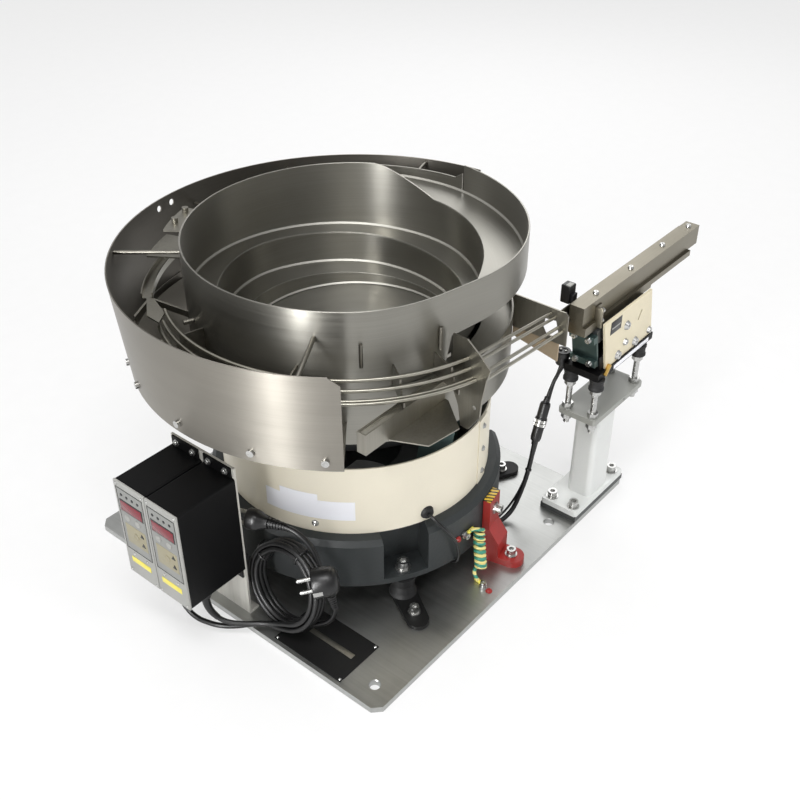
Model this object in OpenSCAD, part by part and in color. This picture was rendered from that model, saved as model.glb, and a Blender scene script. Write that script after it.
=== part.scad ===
// Vibratory bowl feeder with a linear feeder on a pedestal, two controllers and
// one base plate. Millimetres, +Z up. The origin is the centre of the four mounting
// holes, on the underside of the base plate. +X is the feed direction.

/* [Base plate] */
// Length of the base plate, without its tongue
base_l = 490; // [470:5:540]
// Width of the base plate
base_w = 500; // [470:5:560]
// Thickness of the base plate
base_t = 8; // [6:1:14]
// Length of the tongue that carries the pedestal
tongue_l = 55; // [40:5:80]
// Bore of the mounting holes
hole_d = 13; // [9:1:16]
// Distance of the mounting holes from the long edges and the near short edge
hole_inset = 28; // [22:1:36]
// Distance between the mounting holes along the feed direction
hole_pitch = 364; // [340:2:380]

/* [Drive unit] */
// Radius of the cast drive base
cast_r = 192; // [180:1:198]
// Height of the cast drive base
cast_h = 73; // [60:1:90]
// Outer radius of the sheet metal drum
drum_r = 175; // [160:1:178]
// Height of the drum
drum_h = 98; // [85:1:110]
// Thickness of the drum sheet
drum_t = 2; // [1.5:0.5:3]
// Height of the rubber part of a foot
rubber_h = 29; // [20:1:40]
// Thickness of the steel strap under a foot
strap_t = 6; // [4:1:8]
// Number of leaf spring packs
spring_n = 4; // [3:1:4]

/* [Bowl] */
// Inner radius of the bowl at its rim
bowl_r = 193.5; // [186:0.5:200]
// Height of the rim above the bowl's floor
bowl_h = 145; // [130:1:160]
// Thickness of the bowl's sheet
sheet_t = 2; // [1.5:0.5:3]
// Height of the skirt below the outer wall
skirt_h = 72; // [60:1:80]
// Gap between the drum and the skirt
drive_gap = 52; // [44:1:64]
// Height of the outer wall's sheet behind the bowl
back_wall_h = 16; // [10:1:24]

/* [Guard and pan] */
// Radius of the guard at its rim
guard_r = 280; // [272:1:290]
// Inward slope of the guard over its height
guard_slope = 11; // [0:1:16]
// Height of the guard
guard_h = 123; // [100:1:140]
// Thickness of the guard and pan sheet
guard_t = 1.5; // [1:0.5:3]
// Diameter of the guide rods
rod_d = 4; // [3:0.5:5]

/* [Pedestal] */
// Length of the pedestal's foot and top plate
plate_l = 126; // [110:2:134]
// Width of the foot plate, top plate and tongue
plate_w = 56; // [50:1:70]
// Thickness of the foot plate, its spacer and the top plate
plate_t = 8; // [6:1:12]
// Height of the column between its plates
column_h = 134; // [120:1:180]
// Column section along the feed direction
column_l = 50; // [44:1:60]
// Column section across the feed direction
column_w = 36; // [30:1:44]
// Wall of the column
column_wall = 4; // [3:0.5:6]

/* [Linear feeder] */
// Length of the track bar
track_l = 298; // [260:2:340]
// Width of the track bar
track_w = 20; // [16:1:26]
// Height of the track bar
track_h = 27; // [22:1:34]
// Width of the slot between the two rails
slot_w = 4; // [2:0.5:6]
// Lean of the leaf springs over their height
spring_lean = 16; // [8:1:22]

/* [Controllers] */
// Depth of a controller case
case_d = 83; // [70:1:100]
// Width of a controller case
case_w = 53; // [46:1:60]
// Height of a controller case
case_h = 140; // [120:1:160]
// Thickness of a front panel
panel_t = 3; // [2:0.5:5]
// Height of the bracket plate that carries the controllers
bracket_h = 228; // [215:1:250]

/* [Hidden] */
$fn = 64;
EPS = 0.01;

// Base plate
base_x0 = -hole_inset - hole_pitch / 2;
base_y0 = -base_w / 2;
base_corner = 10;
hole_y = base_w / 2 - hole_inset;

// Drive axis and levels
drive_x = 40;
foot_n = 4;
foot_a0 = 60;
foot_r = cast_r - 14;
rubber_r = 16;
strap_end = cast_r + 38;
strap_r = 14;
foot_bolt_r = cast_r + 26;
cast_z = base_t + strap_t + rubber_h;
cast_top = cast_z + cast_h;
ledge_t = 10;
lock_a = 282;
lock_z = cast_z + 44;
lock_bolt_r = cast_r + 37;
ground_a = 265.5;
ground_z = cast_z + 35;
ground_p = [25, -225];
pocket_w = 58;
drum_top = cast_top + drum_h;
top_r = 150;
top_t = 12;
top_z = drum_top + 8;
skirt_z = drum_top + drive_gap;
skirt_top = skirt_z + skirt_h;
floor_z = skirt_z + 22;
rim_z = floor_z + bowl_h;

// Bowl: angles run on past 360 degrees, one turn of the spiral per 360
skirt_ro = bowl_r + sheet_t;
inner_r = 132;
ring_z = floor_z + 52;
exit_z = floor_z + 112;
// Wall radius along the spiral track
wall_path = [
    [-450, inner_r], [-392, inner_r + 9], [-360, inner_r + 19], [-328, inner_r + 33],
    [-274, inner_r + 38], [-240, inner_r + 28], [-60, inner_r + 20], [-33, inner_r + 33],
    [0, bowl_r - 7.5], [24, bowl_r - 2.5], [38, bowl_r], [232, bowl_r], [261, bowl_r - 9.5],
    [285, bowl_r + 3.5], [315, bowl_r + 16.5], [345, bowl_r + 29.5], [365, bowl_r + 40.5],
    [420, bowl_r + 46.5]];
// Height of the track along the spiral
track_path = [
    [-440, floor_z + sheet_t + 1], [0, ring_z], [385, exit_z], [460, exit_z - 28]];
// Top of the wall where it is a free edge
edge_path = [
    [5, exit_z - 5], [30, rim_z], [362, rim_z], [363, exit_z + back_wall_h - 3],
    [420, exit_z + back_wall_h - 3], [460, exit_z - 28 + back_wall_h]];

// Guard and pan
guard_top = rim_z - 23;
guard_z = guard_top - guard_h;
guard_rb = guard_r - guard_slope;
guard_a0 = 3;
guard_a1 = 220;
pan_z = guard_z + 8;
rod_r = rod_d / 2;
rod_z = skirt_top + 10;

// Pedestal
ped_x = base_x0 + base_l - 77;
ped_y = base_y0 + plate_w / 2;
ped_z = base_t + 2 * plate_t;
ped_top = ped_z + column_h + plate_t;
column_x = ped_x + 39;
top_x = ped_x + 21;
stud_d = 8;
stud_dx = plate_l / 2 - 9;
stud_dy = plate_w / 2 - 9;
stud_drop = 16;

// Linear feeder
mount_h = 16;
mount_z = ped_top + 44;
mount_r = 9;
feeder_z = mount_z + mount_h;
feeder_l = plate_l + 14;
slab_t = 10;
side_z = feeder_z + slab_t;
side_h = 72;
side_l = 118;
side_x = top_x + 20;
side_t = 3;
feeder_w = 40;
block_h = 22;
upper_h = 20;
cradle_h = 12;
upper_z = side_z + side_h - 8 - upper_h;
cradle_z = upper_z + upper_h;
track_z = cradle_z + cradle_h;
track_x = top_x - 27;
track_y = ped_y - 9;

// Controllers
bracket_t = 3;
bracket_w = 106;
bracket_x = base_x0 + 17;
bracket_y = 22;
case_z = 82;
case_gap = 1;
flange_t = 2;
flange_h = 14;
case_x = bracket_x - bracket_t;

// Cords: points along each route, chosen by hand
cord_r = 4;
cord_1 = [
    [-240, 49, 64], [-243, 44, 38], [-247, 28, 18], [-245, 4, 12],
    [-232, -22, 13], [-214, -36, 14], [-197, -45, 17]];
cord_2 = [
    [-240, -5, 64], [-241, -10, 40], [-238, -24, 20], [-230, -48, 13],
    [-217, -67, 13], [-203, -78, 14]];
// Tails between the coil and the two plugs
cord_3 = [[-161.5, -154.5, 118.6], [-153, -161, 112], [-154, -158, 96], [-162, -150, 84], [-171, -141.5, 73]];
cord_4 = [[-166, -35.6, 144.4], [-164, -22, 142], [-162, -16, 130], [-162, -21, 118], [-161.5, -33, 112]];
coil_c = [-171, -77, 68];
coil_r = 50;
coil_w = 22;
coil_lean = 17;
cable_r = 4;
signal_route = [
    [195.5, -180, 116.7], [191, -180, 92], [183, -179, 62], [170, -178, 36],
    [152, -176, 18], [134, -172, 13], [116, -166, 13]];
drum_route = [
    [-14, -156, 128], [-17, -165.5, 128], [-20, -174, 127.5], [-17, -187, 118],
    [-9, -193.5, 104], [2, -196.5, 84], [9, -196, 60], [11, -193.5, 44], [12, -186, 37],
    [13, -172, 34]];
drum_cable_r = 2;

STEEL = [0.72, 0.71, 0.69];
BRIGHT = [0.82, 0.82, 0.81];
DARK = [0.20, 0.21, 0.21];
BLACK = [0.08, 0.08, 0.08];
CREAM = [0.91, 0.88, 0.80];
WHITE = [0.80, 0.80, 0.78];
SPRING = [0.22, 0.30, 0.29];
RED = [0.60, 0.13, 0.13];
TAN = [0.66, 0.60, 0.50];

// A child turned to angle a on radius r about the drive axis, at height z
module polar(a, r, z = 0)
    translate([drive_x, 0, z]) rotate([0, 0, a]) translate([r, 0, 0]) children();

// A round bar between two points
module bar(p, q, r) {
    d = q - p;
    h = norm(d);
    translate(p) rotate([0, acos(d.z / h), atan2(d.y, d.x)]) cylinder(h = h, r = r, $fn = 24);
}

// Hexagon socket head screw, head upwards, seat at z = 0, shank of length l below
module socket_screw(d, l) {
    difference() {
        union() {
            cylinder(h = d, d = 1.5 * d, $fn = 32);
            translate([0, 0, -l]) cylinder(h = l + EPS, d = d, $fn = 32);
        }
        translate([0, 0, d / 2]) cylinder(h = d, d = 0.9 * d, $fn = 6);
    }
}

// Screw with a flat washer under its head; the washer lies on z = 0
module washer_screw(d, l) {
    washer_t = 1.6;
    difference() {
        cylinder(h = washer_t, d = 2 * d, $fn = 32);
        translate([0, 0, -1]) cylinder(h = washer_t + 2, d = 1.08 * d, $fn = 32);
    }
    translate([0, 0, washer_t]) socket_screw(d, l + washer_t);
}

// A strip swept along rings of points; every ring has the same number of points
module swept(rings) {
    n = len(rings[0]);
    m = len(rings);
    points = [for (ring = rings) each ring];
    sides = [for (i = [0:m - 2]) for (j = [0:n - 1]) each [
        [i * n + j, i * n + (j + 1) % n, (i + 1) * n + j],
        [(i + 1) * n + j, i * n + (j + 1) % n, (i + 1) * n + (j + 1) % n]]];
    first = [for (j = [n - 1:-1:0]) j];
    last = [for (j = [0:n - 1]) (m - 1) * n + j];
    polyhedron(points, concat(sides, [first, last]), convexity = 8);
}

// A tube of radius r swept along a hand-laid route, with 8 sides
function unit(v) = v / norm(v);
function tangent(p, i) =
    unit(p[min(i + 1, len(p) - 1)] - p[max(i - 1, 0)]);
function flow(p, u) = let (i = min(floor(u), len(p) - 2), t = u - i,
    a = p[max(i - 1, 0)], b = p[i], c = p[i + 1], d = p[min(i + 2, len(p) - 1)])
    0.5 * (2 * b + (c - a) * t + (2 * a - 5 * b + 4 * c - d) * t * t
        + (3 * b - a - 3 * c + d) * t * t * t);
module cord(route, r, steps = 2) {
    n = (len(route) - 1) * steps;
    line = [for (i = [0:n]) flow(route, i / steps)];
    swept([for (i = [0:n])
        let (t = tangent(line, i),
            side = unit(cross(t, abs(t.z) < 0.9 ? [0, 0, 1] : [1, 0, 0])),
            up = cross(side, t))
        [for (k = [0:7]) line[i] + r * (cos(45 * k) * side + sin(45 * k) * up)]]);
}

// ---- base plate ----
module base_outline() {
    far_x = base_x0 + base_l;
    polygon([
        [base_x0 + base_corner, base_y0], [far_x + tongue_l - base_corner, base_y0],
        [far_x + tongue_l, base_y0 + base_corner],
        [far_x + tongue_l, base_y0 + plate_w], [far_x, base_y0 + plate_w],
        [far_x, -base_y0 - base_corner], [far_x - base_corner, -base_y0],
        [base_x0 + base_corner, -base_y0], [base_x0, -base_y0 - base_corner],
        [base_x0, base_y0 + base_corner]]);
}

module base_plate() color(WHITE) difference() {
    linear_extrude(base_t) base_outline();
    for (x = [-1, 1], y = [-1, 1]) translate([x * hole_pitch / 2, y * hole_y, 0]) {
        translate([0, 0, -1]) cylinder(h = base_t + 2, d = hole_d);
        translate([0, 0, base_t - 1]) cylinder(h = 2, d1 = hole_d, d2 = hole_d + 4);
    }
    each_foot() translate([foot_bolt_r, 0, -1]) cylinder(h = base_t + 2, d = 8.6);
    each_pedestal_bolt(-1) cylinder(h = base_t + 2, d = 9);
    polar(lock_a, lock_bolt_r, -1) cylinder(h = base_t + 2, d = 8.6);
    translate([ground_p.x, ground_p.y, -1]) cylinder(h = base_t + 2, d = 5.4);
}

label_x = base_x0 + 5;
label_y = base_y0 + 61;
label_l = 69;
label_w = 107;
label_t = 1;
module name_plate() color(BLACK) translate([label_x, label_y, base_t])
    cube([label_l, label_w, label_t]);

module name_plate_rivets() color(BRIGHT)
    for (x = [3, label_l - 3], y = [3, label_w - 3])
        translate([label_x + x, label_y + y, base_t + label_t]) intersection() {
            translate([0, 0, -1]) sphere(r = 2.2, $fn = 24);
            cylinder(h = 3, r = 3);
        }

// ---- drive unit ----
module each_foot() for (i = [0:foot_n - 1]) polar(foot_a0 + i * 360 / foot_n, 0) children();

module drive_casting() color(DARK) difference() {
    translate([drive_x, 0, cast_z]) rotate_extrude($fn = 128) polygon([
        [60, 0], [cast_r - 2, 0], [cast_r, 2], [cast_r, cast_h - 8],
        [cast_r - 6, cast_h - 2], [drum_r + 2, cast_h], [60, cast_h]]);
    each_foot() {
        translate([drum_r - 20, -pocket_w / 2, cast_z + ledge_t]) cube([60, pocket_w, cast_h]);
        translate([foot_r, 0, cast_z - 1]) cylinder(h = ledge_t + 2, d = 10.6);
    }
    polar(lock_a, cast_r - 24, lock_z) rotate([0, 90, 0]) cylinder(h = 40, d = 8.6);
    polar(ground_a, cast_r - 12, ground_z) rotate([0, 90, 0]) cylinder(h = 20, d = 5.4);
}

module foot_straps() color(BLACK) each_foot() translate([0, 0, base_t]) difference() {
    linear_extrude(strap_t) hull() {
        translate([foot_r, 0]) circle(r = rubber_r);
        translate([strap_end, 0]) circle(r = strap_r);
    }
    translate([foot_bolt_r, 0, -1]) cylinder(h = strap_t + 2, d = 8.6);
    translate([foot_r, 0, -1]) cylinder(h = strap_t + 2, d = 10.6);
}

module foot_rubbers() color(BLACK) each_foot() translate([foot_r, 0, base_t + strap_t])
    rotate_extrude() polygon([
        [5.5, 0], [rubber_r + 2, 0], [rubber_r, 5], [rubber_r - 2, rubber_h / 2],
        [rubber_r, rubber_h - 5], [rubber_r + 1, rubber_h], [5.5, rubber_h]]);

module drive_bolts() color(BRIGHT) {
    each_foot() {
        translate([foot_bolt_r, 0, base_t + strap_t]) washer_screw(8, strap_t);
        translate([foot_r, 0, cast_z + ledge_t]) washer_screw(10, rubber_h + ledge_t);
    }
    // transport lock
    polar(lock_a, lock_bolt_r, base_t + 10) washer_screw(8, 10 + base_t - 1);
    polar(lock_a, lock_r + 10, lock_z) rotate([0, 90, 0]) washer_screw(8, 28);
    // ground lugs
    polar(ground_a, cast_r + 1.5, ground_z) rotate([0, 90, 0]) washer_screw(5, 10);
    translate([ground_p.x, ground_p.y, base_t + 1.5]) washer_screw(5, base_t);
}

drum_seam_a = 286;
module drum() color(CREAM) difference() {
    union() {
        translate([drive_x, 0, cast_top]) rotate_extrude($fn = 128)
            translate([drum_r - drum_t, 0]) square([drum_t, drum_h]);
        for (a = [drum_seam_a, drum_seam_a + 180]) translate([drive_x, 0, cast_top])
            rotate([0, 0, a - 4]) rotate_extrude(angle = 8, $fn = 128)
                translate([drum_r - EPS, 0]) square([1.5, drum_h]);
    }
    for (a = [drum_seam_a, drum_seam_a + 180], z = [14, drum_h / 2, drum_h - 14])
        polar(a, drum_r - 10, cast_top + z) rotate([0, 90, 0]) cylinder(h = 20, d = 4.2);
    polar(grommet_a, drum_r - 10, cast_top + 12) rotate([0, 90, 0]) cylinder(h = 20, d = 12);
}

module drum_screws() color(BRIGHT)
    for (a = [drum_seam_a, drum_seam_a + 180], z = [14, drum_h / 2, drum_h - 14])
        polar(a, drum_r + 1.5, cast_top + z) rotate([0, 90, 0]) {
            translate([0, 0, -3.5]) cylinder(h = 3.5, d = 4, $fn = 24);
            cylinder(h = 2.4, d1 = 8, d2 = 5, $fn = 24);
        }

grommet_a = 251;
module cable_grommet() color(BLACK) polar(grommet_a, drum_r - drum_t - 2.5, cast_top + 12)
    rotate([0, 90, 0]) rotate_extrude($fn = 32) polygon([
        [drum_cable_r + 0.3, 0], [8, 0], [8, 2], [5.8, 2], [5.8, 2.6 + drum_t],
        [9, 2.6 + drum_t], [7, 6.6 + drum_t], [drum_cable_r + 0.3, 6.6 + drum_t]]);

// Leaf springs lean, so that the bowl turns a little as it rises
pack_r = 118;
pack_w = 44;
pack_lean = 24;
pack_t = 3;
module spring_packs() color(SPRING) for (i = [0:spring_n - 1])
    polar(i * 360 / spring_n + 15, pack_r, cast_top)
        for (k = [-1, 0, 1]) rotate([90, 0, 90]) translate([k * 2 * pack_t, 0, -pack_w / 2])
            linear_extrude(pack_w) polygon([
                [-pack_lean, 0], [-pack_lean + pack_t, 0],
                [pack_lean + pack_t, top_z - cast_top], [pack_lean, top_z - cast_top]]);

yoke_l = 150;
yoke_w = 44;
yoke_t = 24;
coil_l = 80;
coil_t = 56;
air_gap = 2;
module drive_magnet() color(DARK) translate([drive_x, 0, cast_top]) {
    translate([-yoke_l / 2, -yoke_w / 2, 0]) cube([yoke_l, yoke_w, yoke_t]);
    translate([-coil_l / 2, -coil_t / 2, yoke_t - EPS])
        cube([coil_l, coil_t, top_z - air_gap - cast_top - yoke_t]);
}

hub_r = 60;
module drive_top() color(BLACK) translate([drive_x, 0, top_z]) rotate_extrude($fn = 96) polygon([
    [0, 0], [top_r, 0], [top_r, top_t], [hub_r, top_t],
    [hub_r, floor_z - sheet_t - top_z], [0, floor_z - sheet_t - top_z]]);

// ---- bowl ----
function wall(a) = lookup(a, wall_path);
function track(a) = lookup(a, track_path);
function wall_top(a) = a <= 5 ? track(a + 360) - sheet_t / 2 : lookup(a, edge_path);
function wall_foot(a) = let (foot = track(a) - sheet_t - 1)
    a > 24 && a < 255 ? min(skirt_top, foot) : foot;

// A rectangle of the bowl's section at angle a, between two radii and two heights
function box_ring(a, r0, r1, z0, z1) = [for (p = [[r0, z0], [r1, z0], [r1, z1], [r0, z1]])
    [drive_x + p.x * cos(a), p.x * sin(a), p.y]];
lip = 0.5;
function track_ring(a) =
    box_ring(a, wall(a - 360) - lip, wall(a) + sheet_t / 2, track(a) - sheet_t, track(a));
function wall_ring(a) =
    box_ring(a, wall(a), wall(a) + sheet_t, wall_foot(a), wall_top(a));
function riser_ring(a) =
    box_ring(a, inner_r, inner_r + sheet_t, floor_z, track(a) - sheet_t / 2);

step_a = 6;
module bowl_steps() color(STEEL) {
    swept([for (a = [-440:step_a:460]) track_ring(a)]);
    swept([for (a = [each [-438:step_a:0], 5, each [12:step_a:354], 362]) wall_ring(a)]);
    swept([for (a = [362.5, each [366:step_a:456], 460.5]) wall_ring(a)]);
    swept([for (a = [-436:step_a:-82]) riser_ring(a)]);
}

shelf_z = ring_z - 16;
shelf_r = inner_r + 27;
module bowl_skirt() color(STEEL) translate([drive_x, 0, 0]) {
    translate([0, 0, skirt_z]) rotate_extrude($fn = 128) polygon([
        [bowl_r, 0], [skirt_ro, 0], [skirt_ro, skirt_h], [bowl_r, skirt_h],
        [bowl_r, floor_z - skirt_z], [0, floor_z - skirt_z],
        [0, floor_z - skirt_z - sheet_t], [bowl_r, floor_z - skirt_z - sheet_t]]);
    // shelf that closes the skirt under the exit bulge
    translate([0, 0, shelf_z]) rotate([0, 0, 228]) rotate_extrude(angle = 144, $fn = 128)
        translate([shelf_r, 0]) square([bowl_r - shelf_r + EPS, sheet_t]);
}

// ---- guard, pan and the stays between them and the bowl ----
function guard_inner(z) = guard_rb - guard_t + guard_slope * (z - guard_z) / guard_h;
fixing_z = guard_z + 13;
fixing_a = [147, 158, 178, 199, 216];
module guard() color(STEEL) difference() {
    translate([drive_x, 0, guard_z]) rotate([0, 0, guard_a0])
        rotate_extrude(angle = guard_a1 - guard_a0, $fn = 160) polygon([
            [guard_rb - guard_t, 0], [guard_rb, 0], [guard_r, guard_h], [guard_r - guard_t, guard_h]]);
    polar(guard_a1, guard_r - 20, guard_top) rotate([-40, 0, 0])
        translate([-10, -30, -8]) cube([60, 60, 40]);
    for (a = [98, 103]) polar(a, guard_r - 20, guard_top - 11) rotate([0, 90, 0])
        cylinder(h = 40, d = 8);
    for (a = fixing_a) polar(a, guard_rb - 20, fixing_z) rotate([0, 90, 0]) cylinder(h = 40, d = 5);
}

module guard_screws() color(BRIGHT) for (a = fixing_a)
    polar(a, guard_rb + 1.4, fixing_z) rotate([0, 90, 0]) {
        cylinder(h = 3.5, d = 8.5, $fn = 24);
        translate([0, 0, -9]) cylinder(h = 9 + EPS, d = 4.8, $fn = 24);
    }

pan_a0 = 100;
module pan_floor() color(STEEL) difference() {
    translate([drive_x, 0, pan_z]) rotate([0, 0, pan_a0])
        rotate_extrude(angle = guard_a1 - pan_a0, $fn = 160) polygon([
            [skirt_ro + 0.2, 0], [guard_inner(pan_z) - 0.3, 0],
            [guard_inner(pan_z + 10) - 0.3, 10],
            [guard_inner(pan_z + 10) - 0.3 - guard_t, 10],
            [guard_inner(pan_z) - 0.3 - guard_t, guard_t], [skirt_ro + 0.2, guard_t]]);
    for (a = fixing_a) polar(a, guard_rb - 20, fixing_z) rotate([0, 90, 0]) cylinder(h = 40, d = 5);
}

// Angle, height and inner end of each bar that holds the guard
stays = [[20, exit_z + 5, wall(380) + sheet_t], [60, exit_z - 2, wall(420) + sheet_t],
    [90, exit_z - 16, wall(450) + sheet_t], [130, guard_top - 8, skirt_ro],
    [211, guard_top - 8, skirt_ro]];
seat_a = [165, 205, 235, 250];
seat_r = skirt_ro + 43.5;
module stay_rods() color(BRIGHT) {
    for (s = stays) polar(s[0], s[2] + 0.2, s[1]) rotate([0, 90, 0])
        cylinder(h = guard_inner(s[1] - 3) - s[2] - 0.5, r = 2.5, $fn = 24);
    // short pins and posts on the outer wall
    polar(157, skirt_ro + 0.2, rod_z + 14) rotate([0, 90, 0]) cylinder(h = 12, r = 3, $fn = 24);
    for (a = [225, 252]) polar(a, wall(a) + sheet_t + 2.2, rod_z + 20) cylinder(h = 28, r = 2, $fn = 24);
    // stepped plates under the guide rods
    for (a = seat_a) polar(a, 0) rotate([90, 0, 0]) translate([0, 0, -1]) linear_extrude(2)
        polygon([
            [wall(a) + sheet_t + 0.2, skirt_top + 2], [seat_r, skirt_top + 2],
            [seat_r, rod_z - rod_r], [seat_r - 10.4, rod_z - rod_r],
            [seat_r - 10.4, rod_z + 10 - rod_r], [seat_r - 14.7, rod_z + 10 - rod_r],
            [seat_r - 14.7, rod_z + 20 - rod_r], [wall(a) + sheet_t + 0.2, rod_z + 20 - rod_r]]);
}

bracket_a = 256;
rod_end_a = bracket_a - 0.3;
// Radius, height and start angle of each guide rod
rods = [[seat_r - 17, rod_z + 20, 150], [seat_r - 12.5, rod_z + 10, 152],
    [seat_r - 8.2, rod_z, 150], [seat_r - 3, rod_z, 158]];
module guide_rods() color(BRIGHT) for (rod = rods) translate([drive_x, 0, rod[1]])
    rotate([0, 0, rod[2]]) rotate_extrude(angle = rod_end_a - rod[2], $fn = 160)
        translate([rod[0], 0]) circle(r = rod_r, $fn = 16);

// Two pairs of straight rods carry the parts from the bracket to the exit plate
function off_bracket(out, turn, up) = let (r = skirt_ro + out, a = bracket_a + turn)
    [drive_x + r * cos(a), r * sin(a), rod_z + up];
module exit_rods() color(BRIGHT) for (k = [-1, 1]) {
    step = k * [0, 2.6, 2.2];
    bar(off_bracket(24.3609, 0.85498, 12.4) + step, [exit_x - 0.6, track_y + 29, track_z + 18] + step, rod_r);
    bar(off_bracket(45.9318, 0.9538, 4.1) + step, [exit_x - 0.6, track_y + 17, track_z + 3] + step, rod_r);
}

module exit_bracket() color(STEEL) polar(bracket_a, 0) rotate([90, 0, 0])
    translate([skirt_ro, skirt_top, -1]) linear_extrude(2) difference() {
        polygon([
            [0.2, -18], [0.2, 48], [23.5, 52], [43.5, 43], [62.5, 32], [56.5, 16],
            [50.5, -13], [48.5, -35], [30.5, -61], [17.5, -63], [12.5, -38]]);
        translate([40, -27]) circle(d = 6, $fn = 24);
    }

// A point of a flat plate at radius r and angle a about the drive axis
function pt(r, a) = [drive_x + r * cos(a), r * sin(a)];

trough_r = skirt_ro + 37.5;
module track_plates() color(STEEL) {
    // flange with two screws, just under the rim
    translate([drive_x, 0, rim_z - 14]) rotate([0, 0, 108]) rotate_extrude(angle = 17)
        translate([skirt_ro + 0.2, 0]) square([26, 2]);
    for (a = [111, 119]) polar(a, skirt_ro + 18.5, rim_z - 12 - EPS) cylinder(h = 6, d = 8, $fn = 24);
    // turning plate between the outer track and the trough
    translate([drive_x, 0, exit_z - 18]) rotate([0, 0, 110]) rotate_extrude(angle = 14)
        translate([skirt_ro + 0.2, 0]) square([52, 2]);
    // curved trough on a bent strip
    translate([drive_x, 0, rod_z + 10]) rotate([0, 0, 112]) rotate_extrude(angle = 26, $fn = 120)
        translate([trough_r, 0]) polygon([[0, 0], [14, 0], [14, 8], [12.5, 8], [12.5, 1.5],
            [1.5, 1.5], [1.5, 8], [0, 8]]);
    translate([0, 0, rod_z + 2]) linear_extrude(8 + EPS) polygon([
        pt(trough_r + 23, 146), pt(trough_r + 5, 136.5), pt(skirt_ro + 0.2, 148),
        pt(skirt_ro + 0.2, 148.8), pt(trough_r + 4, 137.7), pt(trough_r + 22, 147)]);
    // small turned plate at the end of the trough
    translate([0, 0, rod_z + 10]) linear_extrude(2) polygon([
        pt(trough_r + 8, 137.8), pt(trough_r - 1, 139), pt(trough_r - 11, 148),
        pt(trough_r - 1, 153), pt(trough_r + 9, 148)]);
}

// The chute lies a small gap off the skirt, whose round it meets at chute_x1
chute_gap = 0.6632;
chute_x0 = drive_x - 198;
chute_x1 = drive_x - 68;
chute_w = 12;
chute_y = -sqrt(pow(skirt_ro + chute_gap, 2) - pow(drive_x - chute_x1, 2)) - chute_w;
chute_h = 25.5;
chute_z = skirt_top + 1.5 - chute_h;
module return_chute() color(STEEL) {
    difference() {
        translate([chute_x0, chute_y, chute_z]) cube([chute_x1 - chute_x0, chute_w, chute_h]);
        translate([chute_x0 + 2, chute_y + 2, chute_z + 2]) cube([chute_x1 - chute_x0 - 4, chute_w - 4, chute_h]);
    }
    translate([0, 0, chute_z - guard_t]) linear_extrude(guard_t) polygon([
        [chute_x0 + 36, chute_y + chute_w], [chute_x0 + 36, chute_y],
        [chute_x0 + 54, chute_y - 38], [chute_x0 + 98, chute_y - 44],
        [chute_x1 + 1, chute_y - 4], [chute_x1 + 1, chute_y + chute_w]]);
}

exit_x = track_x - 22;
exit_y1 = -sqrt(skirt_ro * skirt_ro - (exit_x - drive_x) * (exit_x - drive_x)) - 0.3;
module exit_plate() color(STEEL) translate([exit_x, 0, 0]) rotate([90, 0, 90])
    linear_extrude(2) difference() {
        polygon([
            [exit_y1, track_z - 18], [exit_y1, track_z + 27], [track_y + 12, track_z + 27],
            [track_y + 8, track_z + 23], [track_y + 8, track_z - 18]]);
        translate([track_y + 19, track_z]) polygon([
            [0, -5], [5, -11], [18, -11], [23, -3], [21, 10], [5, 12]]);
    }

module exit_guard() color(TAN) translate([exit_x + 2.1, 0, 0]) rotate([90, 0, 90])
    linear_extrude(2) polygon([
        [exit_y1 - 3, track_z - 32], [track_y + 19, track_z - 45],
        [track_y + 19, track_z - 14], [exit_y1 - 3, track_z - 12]]);

// ---- pedestal ----
foot_bolts = [[11, 11], [11, plate_w - 11], [plate_l - 14, 11], [plate_l - 14, plate_w - 11]];
module each_pedestal_bolt(z) for (p = foot_bolts) translate([ped_x + p.x, base_y0 + p.y, z]) children();
module each_stud(z) for (x = [-1, 1], y = [-1, 1])
    translate([top_x + plate_l / 2 + x * stud_dx, ped_y + y * stud_dy, z]) children();

module foot_spacer() color(DARK) difference() {
    translate([ped_x, base_y0, base_t]) cube([plate_l, plate_w, plate_t]);
    each_pedestal_bolt(base_t - 1) cylinder(h = plate_t + 2, d = 9);
}

module foot_plate() color(WHITE) difference() {
    translate([ped_x, base_y0, base_t + plate_t]) linear_extrude(plate_t)
        polygon([[3, 0], [plate_l - 3, 0], [plate_l, 3], [plate_l, plate_w - 3],
            [plate_l - 3, plate_w], [3, plate_w], [0, plate_w - 3], [0, 3]]);
    each_pedestal_bolt(base_t + plate_t - 1) cylinder(h = plate_t + 2, d = 9);
}

module rounded(l, w, r) translate([r, r]) offset(r = r, $fn = 32) square([l - 2 * r, w - 2 * r]);

module column() color(WHITE) translate([column_x, base_y0 + 4, ped_z]) linear_extrude(column_h)
    difference() {
        rounded(column_l, column_w, 8);
        translate([column_wall, column_wall])
            rounded(column_l - 2 * column_wall, column_w - 2 * column_wall, 8 - column_wall);
    }

module top_plate() color(WHITE) difference() {
    translate([top_x, base_y0, ped_z + column_h]) linear_extrude(plate_t)
        polygon([[3, 0], [plate_l - 3, 0], [plate_l, 3], [plate_l, plate_w - 3],
            [plate_l - 3, plate_w], [3, plate_w], [0, plate_w - 3], [0, 3]]);
    each_stud(ped_z + column_h - 1) cylinder(h = plate_t + 2, d = stud_d + 0.6);
    translate([top_x + plate_l * 0.6, base_y0 - 1, ped_z + column_h + plate_t / 2])
        rotate([-90, 0, 0]) cylinder(h = 12, d = 3.4);
}

module pedestal_bolts() color(BRIGHT) each_pedestal_bolt(ped_z) washer_screw(8.4, 2 * plate_t - 0.5);

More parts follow.
